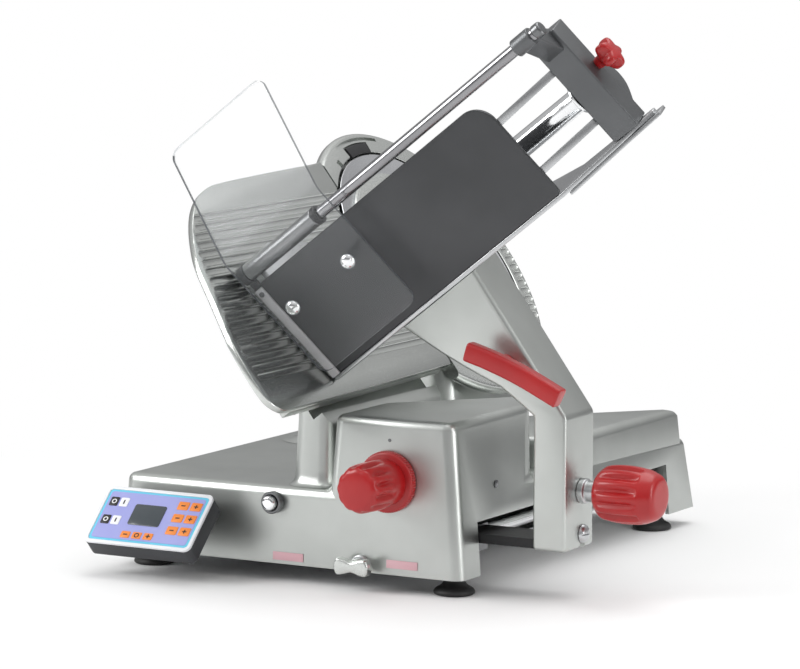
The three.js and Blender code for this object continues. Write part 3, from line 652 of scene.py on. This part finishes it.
def blade_dish():
    profile = [
        (28, -20.5), (RING_OUTER - 8, -20.5), (RING_OUTER, -14), (RING_OUTER, -4), (RING_OUTER - 4, 0),
        (RING_INNER + 1, 0), (RING_INNER, -1), (RING_INNER, -15.5), (28, -15.5),
    ]
    dish = ring_skin(rounded_profile(profile, 3), BLADE_SEGMENTS)
    blade_space = turned([(0, -40), (RING_INNER - 1, -40), (RING_INNER - 1, 10), (0, 10)], BLADE_SEGMENTS)
    front_gap = cut(box((-300, -122), (-300, 300), (-30, 5)), blade_space)
    arc_slot = prism(arc((0, 0), 203, 76, 108, 24) + arc((0, 0), 198, 108, 76, 24), -6, 5)
    opening = prism(arc((0, 0), 195, 84, 104, 16) + arc((0, 0), RING_INNER - 6, 104, 84, 16), -9, 5)
    notch = prism(arc((0, 0), 190, 114, 117, 4) + arc((0, 0), RING_INNER - 4, 117, 114, 4), -6, 5)
    tools = [front_gap, arc_slot, opening, notch]
    for height in range(-112, 18, RIB_PITCH):
        near = math.sqrt(max((RING_INNER + 6) ** 2 - height ** 2, 0))
        far = math.sqrt((RING_OUTER - 5) ** 2 - height ** 2)
        tools.append(groove(near, far, height, 5.2, 2.4))
    piece("ring_guard", cut(dish, *tools), blade_frame, POLISHED_CAST, "root",
          "blade_dish", sharp=30)


def blade_group():
    steel = [(12.3, -11), (150, -11), (168, -7), (175, -0.9), (174.2, -0.5), (166, -2.0), (151, -4.4),
             (141, -7), (12.3, -7)]
    piece("round_blade", ring_skin(steel, BLADE_SEGMENTS), blade_frame, BLADE_STEEL, "blade_unit",
          "blade", 20)
    cover = [(0, -5.4), (144.5, -5.4), (145, -4.8), (145, -3.2), (143.5, -1.6), (138, -1.0), (110, -1.4),
             (0, -0.8)]
    piece("blade_cover_disc", turned(cover, 160), blade_frame, POLISHED_CAST, "root",
          "blade_cover", 24)
    bracket = prism(arc((0, 0), 193, 85, 103, 16) + arc((0, 0), 177, 103, 85, 16), -7.5, 1.6)
    piece("sharpener_mount", bevelled(bracket, 1.2), blade_frame, BLACK, "root",
          "sharpener_bracket")


# ---- Thickness gauge ----
GAUGE_FACE = -0.2
GAUGE_BACK = -9
GAUGE_FRONT = [(8, 0.5), (-16, 2), (-32, 13), (-39, 28), (-40, 60), (-36, 100), (-30, 122), (-17, 163),
               (0, 218), (22, 253), (48, 282), (74, 303), (102, 318), (134, 328), (178, 332), (290, 335.5),
               (403, 338), (428, 339.5)]
GAUGE_REAR = 434


def gauge_plate():
    reach = RING_INNER + 2
    half = math.degrees(math.acos((GAUGE_REAR - BLADE_CENTRE[0]) / reach))
    front = smooth_line(GAUGE_FRONT, 6)
    outline = [tuple(p) for p in front]
    outline += [(GAUGE_REAR, 339)]
    outline += arc(BLADE_CENTRE, reach, half, 360 - half, 60)
    outline += [(GAUGE_REAR, 16), (GAUGE_REAR - 3, 10)]
    sheet = bevelled(prism(outline, GAUGE_BACK, GAUGE_FACE), 1.4, 3, 50)
    grooves = []
    for centre in range(52, 296, RIB_PITCH):
        edge = min((p[0] for p in front if abs(p[1] - centre) < 9), default=-40)
        start = edge + 13
        across = BLADE_CENTRE[1] - centre
        end = BLADE_CENTRE[0] - math.sqrt(reach ** 2 - across ** 2) + 12
        grooves.append(groove(start, end, centre, 5.4, 2.6))
    plate_mesh = cut(sheet, *grooves)
    lip = bevelled(prism([(8, 0.6), (428, 10.4), (428, 17), (8, 8)], -23, -8), 1.5, 3)
    piece("gauge_sheet", plate_mesh, plate, RIBBED, "gauge", "gauge_plate", sharp=30)
    piece("gauge_lip", lip, plate, CAST, "gauge")
    shaft = turned([(0, -52), (10, -52), (10, -9.3), (0, -9.3)], 48, 1)
    piece("gauge_guide_shaft", moved(shaft, Matrix.Translation((140, 46, 0))), plate, CHROME, "gauge",
          "gauge_shaft")


# ---- Front controls ----
THICKNESS_PLACE = (-104, 142)
BUTTON_PLACE = (-271, 102)
SELECTOR_PLACE = (-143, 33)


def fluted(levels, flutes, samples=16, sharpness=1.6):
    """Turned grip with lengthwise flutes, from [height, radius, flute depth] levels."""
    line = smooth_line([Vector(level) for level in levels], 5)
    rings = []
    count = flutes * samples
    for height, radius, depth in line:
        ring = []
        for i in range(count):
            wave = 0.5 - 0.5 * math.cos(2 * math.pi * flutes * i / count)
            reach = radius - max(depth, 0) * wave ** sharpness
            angle = 2 * math.pi * i / count
            ring.append((reach * math.cos(angle), reach * math.sin(angle), height))
        rings.append(ring)
    return loft(rings)


def thickness_knob():
    at = facing_operator(*THICKNESS_PLACE)
    rim = [(-1, 38.8, 0), (0, 39.4, 0.9), (3, 39.4, 0.9), (7, 39.2, 0.9), (9, 38, 0.3), (10, 36, 0)]
    piece("dial", fluted(rim, 72, 6), at, RED, "thickness", "thickness_dial", 40)
    grip = [(10.3, 30, 0), (20, 30.4, 0), (31, 31, 0.2), (38, 31.6, 2.2), (50, 32, 5), (66, 31.4, 5.4),
            (74, 30.4, 3.4), (79, 28.8, 1.4), (81.6, 27.4, 0.9), (83.4, 25.2, 0.7), (84.6, 22, 0.4),
            (85.4, 14, 0), (85.8, 5, 0)]
    piece("thickness_grip", fluted(grip, 12), at, RED, "thickness", "thickness_knob", 40)


def push_button():
    at = facing_operator(*BUTTON_PLACE)
    ring = tube(10.2, 14.4, -0.7, 9.4, 96, 1.2)
    piece("button_ring", ring, at, GUNMETAL, "root", "button_bezel", 40)
    cap = turned([(0, 2.9), (9.5, 2.9), (9.5, 14), (8.6, 16.4), (6, 17.2), (0, 17.5)], 64, 1)
    piece("button_cap", cap, at, CHROME, "button", "push_button", 40)


def selector():
    at = facing_operator(*SELECTOR_PLACE)
    ring = turned([(0, 0.4), (12, 0.4), (12, 5.4), (10.5, 5.9), (0, 5.9)], 64, 0.6)
    piece("selector_ring", ring, at, BRUSHED, "root", "selector_bezel", 40)
    bow = smooth_outline([(-24.6, 0), (-21, -10), (-12, -9.6), (0, -6.6), (12, -9.6), (21, -10), (24.6, 0),
                          (21, 10), (12, 9.6), (0, 6.6), (-12, 9.6), (-21, 10)], 6)
    wings = bevelled(prism(bow, 14, 29.6), 3, 5)
    hub = turned([(0, 6.4), (9, 6.4), (9, 16), (0, 16)], 64, 0.6)
    piece("selector_grip", joined(wings, hub), at, POLISHED_CAST, "selector",
          "selector_knob", 40)


def labels():
    for name, x, z in (("label_left", -250, 33), ("label_right", -84, 37)):
        plate_mesh = bevelled(box((x - 22.3, x + 22.3), (-0.85, -0.15), (z - 5.3, z + 5.3)), 0.2, 2)
        piece(name + "_plate", plate_mesh, work, PINK, "root", name)


# ---- Control box ----
def raised_mark(x, y, half_width, half_height):
    return box((x - half_width, x + half_width), (y - half_height, y + half_height), (0.2, 0.5))


def key_mark(x, y, sign):
    if sign == "bar":
        return raised_mark(x, y, 0.9, 3.2)
    if sign == "minus":
        return raised_mark(x, y, 3, 0.8)
    if sign == "plus":
        return joined(raised_mark(x, y, 3, 0.8), raised_mark(x, y, 0.8, 3))
    return moved(tube(2.2, 3.6, 0.2, 0.5, 32, 0.08), Matrix.Translation((x, y, 0)))


def key(name, x, y, half, material, sign):
    """A membrane key: a low pad with a bar, cross or ring on it."""
    outline = rounded_rectangle((x - half[0], x + half[0]), (y - half[1], y + half[1]), 1.6, 4)
    piece(name, bevelled(prism(outline, -1, 0.25), 0.3, 2), panel, material, "root")
    ink = KEY_WHITE if material is KEY_BLACK else KEY_BLACK
    piece(name + "_sign", key_mark(x, y, sign), panel, ink, "root")


def centred_outline(half_width, half_height, radius):
    return rounded_rectangle((-half_width, half_width), (-half_height, half_height), radius)


def control_box():
    case = centred_outline(79.5, 45.5, 9)
    shell = bevelled(prism(case, -28, -4), 2.4, 5, 50)
    piece("control_case", shell, panel, CHARCOAL, "root", "control_box")
    rim = cut(prism(case, -3.7, 0), prism(centred_outline(74.5, 40.5, 5), -8, 4))
    piece("control_rim", bevelled(rim, 0.8, 3, 50), panel, WHITE, "root", "control_bezel")
    film = prism(centred_outline(74.2, 40.2, 5), -3.7, -0.8)
    piece("control_film", film, panel, CYAN, "root", "control_panel")
    inner = prism(centred_outline(71, 37, 4), -1, -0.4)
    piece("control_film_field", inner, panel, LAVENDER, "root")
    window = bevelled(prism(rounded_rectangle((-27, 20), (-13, 20), 3), -0.5, 0.4), 0.3, 2, 50)
    piece("display_glass", window, panel, SLATE, "root", "display_window")
    for row, y in enumerate((21, -8)):
        key(f"key_off_{row + 1}", -61, y, (6.2, 7), KEY_BLACK, "ring")
        key(f"key_on_{row + 1}", -46, y, (6.2, 7), KEY_WHITE, "bar")
    for row, y in enumerate((24, 4, -16)):
        key(f"key_less_{row + 1}", 42, y, (8, 6.5), ORANGE, "minus")
        key(f"key_more_{row + 1}", 61, y, (8, 6.5), ORANGE, "plus")
    for column, x in enumerate((-22, -5, 12)):
        key(f"key_count_{column + 1}", x, -29, (6.8, 5.2), ORANGE, ("minus", "ring", "plus")[column])
    repaint("control_bracket", BRUSHED)


# ---- Carriage and arm ----
ARM_Y = (49, 129)
CLAMP_PLACE = (94, 136)
PIVOT_PLACE = (98, 81)


def carriage_arm():
    rise = Vector((-0.617, 0.787)) * 62
    knee = Vector((120, 234))
    shoulder = Vector((-16, 419))
    tip = Vector((-118, 339))
    outline = [(74, 63), (120, 63), tuple(knee), tuple(shoulder), tuple(shoulder + rise), tuple(tip + rise),
               tuple(tip), (-112, 331), (-59, 303), (-23, 286), (27, 265), (74, 232)]
    body = bevelled(moved(prism(outline, -ARM_Y[1], -ARM_Y[0]), UPRIGHT), 5, 6, 30)
    slope = (knee - shoulder).normalized()
    side = Vector((slope.y, -slope.x))
    near = shoulder - slope * 40 + side * 9
    far = knee + slope * -34 + side * 9
    groove_outline = [near, far, far + side * 6, near + side * 6]
    edge_groove = moved(prism([tuple(p) for p in groove_outline], -ARM_Y[0] - 6, -ARM_Y[0] + 5), UPRIGHT)
    pocket = box((87, 107), (54, 124), (58, 154))
    gate = box((69, 90), (53, 125), (58, 79))
    pin_hole = turned([(0, 100), (7, 100), (7, 125), (0, 125)], 48)
    pin_gate = joined(box((100, 125), (91, 105), (58, 81)),
                      moved(pin_hole, work.inverted() @ facing_right(*PIVOT_PLACE)))
    above_floor = moved(box((-400, 900), (-600, 159.3), (-400, 600)), work.inverted() @ chute)
    body = cut(body, pocket, gate, pin_gate, above_floor, edge_groove)
    piece("arm_casting", body, work, CAST, "tray", "carriage_arm", sharp=40)


def push_handle():
    centre = smooth_line([(2, 313.5), (36, 303.5), (80, 287), (131, 263)], 10)
    rings = []
    for i, point in enumerate(centre):
        before = centre[max(i - 1, 0)]
        after = centre[min(i + 1, len(centre) - 1)]
        along = (after - before).normalized()
        across = Vector((-along.y, along.x))
        section = rounded_rectangle((1, 21), (-12.4, 12.4), 5, 5)
        rings.append([(point.x + across.x * v, y, point.y + across.y * v) for y, v in section])
    bar = bevelled(loft(rings), 3, 4, 50)
    towards_arm = Matrix(((1, 0, 0, 36), (0, 0, 1, 0), (0, -1, 0, 298), (0, 0, 0, 1)))
    post = moved(turned([(0, 20), (10, 20), (10, 48.6), (0, 48.6)], 48), towards_arm)
    piece("handle_bar", joined(bar, post), work, RED, "tray", "push_handle", 40)


def clamp():
    at = facing_right(*CLAMP_PLACE)
    grip = [(145, 22, 0), (147, 26, 0), (152, 31, 0.8), (160, 35, 4), (178, 37, 5.6), (198, 36.6, 5.4),
            (209, 35, 2.4), (213, 34, 0.2), (224, 29.5, 0), (228.5, 26, 0), (230.6, 21, 0), (231, 12, 0)]
    piece("clamp_grip", fluted(grip, 12), at, RED, "clamp", "clamp_knob", 40)
    stud = [(0, 91), (6, 91), (6, 120.4), (15.8, 120.4), (16, 123), (16, 128), (13.4, 130), (13.4, 144.6),
            (0, 144.6)]
    piece("clamp_shank", turned(stud, 64, 0.8), at, BRUSHED, "clamp", "clamp_stud", 40)


def slotted_dome(profile, slot_half, top, depth):
    """A turned screw with a straight slot across its dome, whose top is at height top."""
    outward = 5 if top > 0 else -5
    inward = -depth if top > 0 else depth
    slot = box((-30, 30), (-slot_half, slot_half), sorted((top + inward, top + outward)))
    return cut(turned(profile, 64), slot)


def pivot_pin():
    profile = [(0, 90), (6, 90), (6, 120.4), (11.8, 120.4), (12, 121.5), (11, 124), (8.5, 126.3), (5, 127.5),
               (0, 128)]
    piece("pivot_screw", slotted_dome(profile, 1.3, 128, 3), facing_right(*PIVOT_PLACE), BRUSHED,
          "carriage", "pivot_pin", 30)


# ---- Chute ----
WALL_DEPTH = 152.7
ROD_W = -20
END_BAR = (491, 531)
on_rod = chute.inverted() @ along_chute(ROD_W, 0)


def chute_wall():
    upper_corner = arc((382, 30), 30, -90, 0, 14)
    lower_corner = arc((406, WALL_DEPTH - 6), 6, 0, 90, 6)
    outline = [(3, 0), *upper_corner, *lower_corner, (3, WALL_DEPTH)]
    sheet = bevelled(prism(outline, 0, 6), 1.2, 3, 50)
    lug = moved(turned([(0, 3), (13, 3), (13, 13.4), (0, 13.4)], 48, 0.8), on_rod)
    web = box((3, 13.4), (ROD_W, 6), (0, 6))
    bore = moved(turned([(0, -3), (8.3, -3), (8.3, 20), (0, 20)], 48), on_rod)
    wall = cut(joined(sheet, lug, web), bore)
    piece("wall_sheet", wall, chute, DARK, "tray", "chute_wall")


def across_floor(outline, w0, w1):
    """An (n, b) outline laid in the floor's plane, between depths w0 and w1."""
    return moved(prism(outline, -w1, -w0), UPRIGHT)


def chute_floor():
    outline = [(3, 0), (412, 0), (546, 74), (546, 84), (425, 84), (300, 190), (3, 190)]
    sheet = bevelled(across_floor(outline, 153, 159), 1.5, 3)
    piece("floor_sheet", sheet, chute, BRUSHED, "tray", "chute_floor")
    teeth = [(418, 6), (500, 50), (552, 70), (552, 96), (470, 96)]
    for step in range(10):
        t = step / 10
        x = 470 - 45 * t
        teeth.append((x, 96 - 76 * t))
        teeth.append((x - 1, 90 - 76 * t))
    bracket = bevelled(across_floor(teeth, 159.3, 164.3), 0.8, 2)
    piece("toothed_bracket", bracket, chute, BRUSHED, "tray", "slotted_bracket")


def wear_strip():
    strip = bevelled(box((3, 15), (4, WALL_DEPTH), (-4.3, -0.3)), 1.2, 3)
    piece("end_strip", strip, chute, STRIP, "tray", "wear_strip")
    screw = turned([(0, -4.2), (3.6, -4.2), (3.6, -5), (2.8, -5.6), (0, -5.7)], 32)
    piece("end_strip_screw", moved(screw, Matrix.Translation((9, 12, 0))), chute, GUNMETAL, "tray")


def cross_bar():
    bar = bevelled(box(END_BAR, (-6, 152.3), (45, 87)), 2, 4)
    bulge_outline = smooth_line([(60, 85), (74, 100), (92, 110), (112, 106), (132, 85)], 6)
    bulge_block = prism([tuple(p) for p in bulge_outline], END_BAR[0] + 0.5, END_BAR[1] - 0.5)
    bulge = bevelled(moved(bulge_block, ACROSS_CHUTE), 2, 3, 50)
    eye_start = END_BAR[0] + 6
    eye_end = END_BAR[1] - 6
    lug_block = prism([(24, 46), (-5, 62), (ROD_W - 9, 8), (ROD_W + 3, 2)], eye_start, eye_end)
    lug = bevelled(moved(lug_block, ACROSS_CHUTE), 1.5, 3)
    eye_outline = [(0, eye_start), (12, eye_start), (12, eye_end), (0, eye_end)]
    eye = moved(turned(eye_outline, 64, 1.5), on_rod)
    piece("end_bar", joined(bar, bulge, lug, eye), chute, DARK_BAR, "tray", "cross_bar", 40)


def chute_rods():
    at_rod = along_chute(ROD_W, 0)
    feed = turned([(0, 332), (15.5, 332), (15.5, 484), (17, 485.6), (22, 486.4), (22, 490.2), (0, 490.7)],
                  96, 0.8)
    piece("feed_tube", feed, along_chute(84, 66), CHROME, "tray", "chute_tube", 40)
    rod = turned([(0, 3.6), (8, 3.6), (8, 529.8), (0, 529.8)], 64, 1)
    piece("guide_bar", rod, at_rod, ROD_PAINTED_REFLECTION, "tray", "press_rod", 40)
    cap = turned([(0, 530.2), (9.4, 530.2), (9.4, 540), (8, 542), (0, 542)], 64, 1)
    piece("guide_bar_cap", cap, at_rod, GUNMETAL, "tray", "rod_cap", 40)
    sleeve = tube(8.4, 12, 14, 138, 96, 1)
    piece("slide_sleeve", sleeve, at_rod, SATIN, "press", "press_sleeve", 40)
    collar = tube(8.4, 12.5, 138.4, 146, 96, 0.8)
    piece("slide_collar", collar, at_rod, BLACK, "press_carrier", "press_collar", 40)


def stays():
    line = [(400, 6.3), (414, 6.3), (490.6, 49), (490.6, 53), (412, 11), (400, 11)]
    for name, w in (("stay_upper", 32), ("stay_lower", 112)):
        strap = bevelled(across_floor(line, w, w + 10), 0.6, 2)
        piece(name + "_strap", strap, chute, BRUSHED, "tray", name)


def press_plate():
    outline = [(-28, 13), (-2, 13), (5, 10.5), (146, 10.5), (150, 15), (150, 150), (10, 150), (-28, 70)]
    sheet = bevelled(moved(prism(outline, 18, 27), ACROSS_CHUTE), 1.6, 3)
    piece("pusher", sheet, chute, BRUSHED, "press", "press_plate")


GUARD_UPPER = 173
GUARD_LOWER = 188
GUARD_BEND = Vector((-49, -29.2))
GUARD_CORNER = 14
GUARD_HALF_THICKNESS = 2.2
GUARD_N = (12, 182)


def guard_section():
    """Points of the bent sheet's middle line, each with its distance from the lower edge."""
    lean = math.radians(32.4)
    up = Vector((-math.cos(lean), math.sin(lean)))
    down = Vector((1, 0))
    turn = 9
    section = []
    for i in range(15):
        s = GUARD_UPPER - (GUARD_UPPER - turn) * i / 14
        section.append((GUARD_BEND + up * s, s + GUARD_LOWER))
    start = GUARD_BEND + up * turn
    end = GUARD_BEND + down * turn
    for i in range(1, 8):
        t = i / 8
        place = start * (1 - t) ** 2 + GUARD_BEND * 2 * t * (1 - t) + end * t ** 2
        section.append((place, GUARD_LOWER - turn * (2 * t - 1)))
    for i in range(15):
        s = turn + (GUARD_LOWER - turn) * i / 14
        section.append((GUARD_BEND + down * s, GUARD_LOWER - s))
    for extra in (1, 2.5, 5, 9, 13):
        section.append((GUARD_BEND + down * (GUARD_LOWER - extra), extra))
        section.append((GUARD_BEND + up * (GUARD_UPPER - extra), GUARD_UPPER + GUARD_LOWER - extra))
    section.sort(key=lambda entry: -entry[1])
    return section


def guard_sheet():
    section = guard_section()
    points = []
    for k, (place, height) in enumerate(section):
        before = section[max(k - 1, 0)][0]
        after = section[min(k + 1, len(section) - 1)][0]
        along = (after - before).normalized()
        out = Vector((along.y, -along.x)) * GUARD_HALF_THICKNESS
        margin = min(height, GUARD_UPPER + GUARD_LOWER - height, GUARD_CORNER)
        inset = GUARD_CORNER - math.sqrt(max(GUARD_CORNER ** 2 - (GUARD_CORNER - margin) ** 2, 0))
        for side in (out, -out):
            w, b = place + side
            for n in (GUARD_N[0] + inset, GUARD_N[1] - inset):
                points.append((n, w, b))
    faces = []
    edges = []
    for k in range(len(section) - 1):
        a = 4 * k
        b = a + 4
        faces.append((a, a + 1, b + 1, b))
        faces.append((a + 2, b + 2, b + 3, a + 3))
        edges.append((a, b, b + 2, a + 2))
        edges.append((a + 1, a + 3, b + 3, b + 1))
    last = 4 * (len(section) - 1)
    edges.append((0, 2, 3, 1))
    edges.append((last, last + 1, last + 3, last + 2))
    return from_faces(points, faces + edges)


def guard():
    """One clear sheet, bent once, with painted shade on its edges, held by two dome screws."""
    obj = piece("bent_guard", guard_sheet(), chute, ACRYLIC, "tray", "clear_guard", 32)
    obj.data.materials.append(ACRYLIC_EDGE_SHADE)
    # The thin side faces take the dark edge material, which paints shade on the sheet's edges.
    largest_edge = 2e-4
    for polygon in obj.data.polygons:
        if abs(polygon.normal.dot(chute_inward)) < 0.3 and 0 < polygon.area < largest_edge:
            polygon.material_index = 1
    for number, (n, w) in enumerate(((146, 46), (44, 47)), 1):
        profile = [(0, -38), (4, -37.6), (7, -36.4), (9, -34.6), (10, -32.6), (10, -31.8), (5, -31.8),
                   (5, -26.9), (8, -26.6), (8, -0.4), (0, -0.4)]
        screw = moved(slotted_dome(profile, 1.1, -38, 2.4), Matrix.Translation((n, w, 0)))
        piece(f"dome_screw_{number}", screw, chute, CHROME, "tray",
              f"guard_screw_{number}", 30)


def star_knob():
    levels = [(0, 7, 0), (3, 8, 0), (9, 9, 0), (12, 15, 3), (15, 20, 7), (19, 21.8, 8), (26, 21.4, 8),
              (30, 18, 6), (31.5, 10, 2)]
    grip = fluted(levels, 5, 24, 0.9)
    piece("star_grip", grip, along_chute(66, 76, 531.3), RED, "star", "star_knob", 40)


def small_fixings():
    plug = moved(turned([(0, 0), (5.2, 0), (5.2, 1.4), (4.6, 1.8), (0, 2)], 40),
                 Matrix.Translation((108, 132, -8.6)))
    piece("side_plug", plug, facing_right(0, 0), GUNMETAL, "root")
    dot = moved(turned([(0, 0), (2.2, 0), (2.2, 0.8), (0, 1)], 24), Matrix.Translation((0, 52, -2.9)))
    piece("index_dot", dot, facing_operator(*THICKNESS_PLACE), GUNMETAL, "root")


def kept_nodes():
    for node in ("bottom_plate", "blade_shaft", "cover_tie_rod"):
        repaint(node, BRUSHED)
    for node in ("blade_bearing", "guide_rod_right", "guide_rod_left"):
        repaint(node, CHROME)
    for node in ("blade_pulley", "motor_pulley", "slide_block"):
        repaint(node, GUNMETAL)
    repaint("drive_belt", RUBBER)
    repaint("blade_motor", MOTOR_PAINT)
    repaint("carriage_bar", BLACK)


# ---- Stage, light and camera ----
def stage():
    material, nodes, links, shader = new_material("floor")
    shader.inputs["Base Color"].default_value = (0.92, 0.92, 0.92, 1)
    shader.inputs["Roughness"].default_value = 0.7
    where = nodes.new("ShaderNodeTexCoord")
    distance = nodes.new("ShaderNodeVectorMath")
    distance.operation = "LENGTH"
    links.new(where.outputs["Object"], distance.inputs[0])
    faded = nodes.new("ShaderNodeMapRange")
    faded.inputs["From Min"].default_value = 0.45
    faded.inputs["From Max"].default_value = 1.1
    links.new(distance.outputs["Value"], faded.inputs["Value"])
    path = nodes.new("ShaderNodeLightPath")
    seen = nodes.new("ShaderNodeMath")
    seen.operation = "MULTIPLY"
    links.new(faded.outputs["Result"], seen.inputs[0])
    links.new(path.outputs["Is Camera Ray"], seen.inputs[1])
    white = nodes.new("ShaderNodeEmission")
    mix = nodes.new("ShaderNodeMixShader")
    links.new(seen.outputs["Value"], mix.inputs["Fac"])
    links.new(shader.outputs["BSDF"], mix.inputs[1])
    links.new(white.outputs["Emission"], mix.inputs[2])
    links.new(mix.outputs["Shader"], nodes["Material Output"].inputs["Surface"])
    reach = 30
    floor = bpy.data.objects.new("floor", from_faces(
        [(-reach, -reach, 0), (reach, -reach, 0), (reach, reach, 0), (-reach, reach, 0)], [(0, 1, 2, 3)]))
    bpy.context.scene.collection.objects.link(floor)
    floor.data.materials.append(material)


def softbox(name, place, size, power, aim=(0, 0, 0.35)):
    data = bpy.data.lights.new(name, "AREA")
    data.shape = "RECTANGLE"
    data.size, data.size_y = size
    data.energy = power
    light = bpy.data.objects.new(name, data)
    light.location = place
    light.rotation_euler = (Vector(aim) - Vector(place)).to_track_quat("-Z", "Y").to_euler()
    bpy.context.scene.collection.objects.link(light)


def lights():
    world = bpy.data.worlds.new("studio")
    world.use_nodes = True
    bpy.context.scene.world = world
    nodes = world.node_tree.nodes
    links = world.node_tree.links
    background = nodes["Background"]
    where = nodes.new("ShaderNodeTexCoord")
    split = nodes.new("ShaderNodeSeparateXYZ")
    links.new(where.outputs["Generated"], split.inputs["Vector"])
    ramp = nodes.new("ShaderNodeValToRGB")
    ramp.color_ramp.elements[0].position = 0.0
    ramp.color_ramp.elements[0].color = (0.20, 0.20, 0.21, 1)
    ramp.color_ramp.elements[1].position = 0.6
    ramp.color_ramp.elements[1].color = (1, 1, 1, 1)
    links.new(split.outputs["Z"], ramp.inputs["Fac"])
    path = nodes.new("ShaderNodeLightPath")
    white = nodes.new("ShaderNodeBackground")
    white.inputs["Strength"].default_value = 1.0
    mix = nodes.new("ShaderNodeMixShader")
    links.new(ramp.outputs["Color"], background.inputs["Color"])
    background.inputs["Strength"].default_value = 0.7
    links.new(path.outputs["Is Camera Ray"], mix.inputs["Fac"])
    links.new(background.outputs["Background"], mix.inputs[1])
    links.new(white.outputs["Background"], mix.inputs[2])
    links.new(mix.outputs["Shader"], nodes["World Output"].inputs["Surface"])
    softbox("key_light", (-1.9, -1.9, 1.5), (1.3, 1.6), 42)
    softbox("top_light", (0.3, 0.3, 2.6), (2.2, 2.2), 34)
    softbox("right_light", (2.3, -0.2, 0.8), (0.6, 1.4), 12)


CAMERA_AZIMUTH = math.radians(29.0)
CAMERA_ELEVATION = math.radians(7.3)
CAMERA_ROLL = math.radians(0.29)
CAMERA_TARGET = Vector((0, 0, 23))
CAMERA_DISTANCE = 5820
CAMERA_SHIFT = (-77.5, 309.4)
CAMERA_LENS = 209.52


def camera():
    """A long lens, level with the chute, to the operator's right."""
    turn = CAMERA_AZIMUTH
    rise = CAMERA_ELEVATION
    back = Vector((math.sin(turn) * math.cos(rise), -math.cos(turn) * math.cos(rise), math.sin(rise)))
    right = Vector((math.cos(turn), math.sin(turn), 0))
    up = back.cross(right)
    place = CAMERA_TARGET + back * CAMERA_DISTANCE + right * CAMERA_SHIFT[0] + up * CAMERA_SHIFT[1]
    rolled_right = right * math.cos(CAMERA_ROLL) + up * math.sin(CAMERA_ROLL)
    rolled_up = up * math.cos(CAMERA_ROLL) - right * math.sin(CAMERA_ROLL)
    matrix = Matrix((rolled_right, rolled_up, back)).transposed().to_4x4()
    matrix.translation = work_origin + place * MM
    data = bpy.data.cameras.new("camera")
    data.sensor_width = 36
    data.lens = CAMERA_LENS
    data.clip_end = 100
    obj = bpy.data.objects.new("camera", data)
    obj.matrix_world = matrix
    bpy.context.scene.collection.objects.link(obj)
    bpy.context.scene.camera = obj
    bpy.context.scene.view_settings.view_transform = "Standard"


camera()
lights()
stage()
base_housing()
for row_name, foot_y in FOOT_ROWS.items():
    for side_name, foot_x in FOOT_COLUMNS.items():
        foot(f"foot_{row_name}_{side_name}", foot_x, foot_y)
neck()
motor_housing()
blade_dish()
blade_group()
gauge_plate()
thickness_knob()
push_button()
selector()
labels()
control_box()
carriage_arm()
push_handle()
clamp()
pivot_pin()
chute_wall()
chute_floor()
wear_strip()
cross_bar()
chute_rods()
stays()
press_plate()
guard()
star_knob()
small_fixings()
kept_nodes()
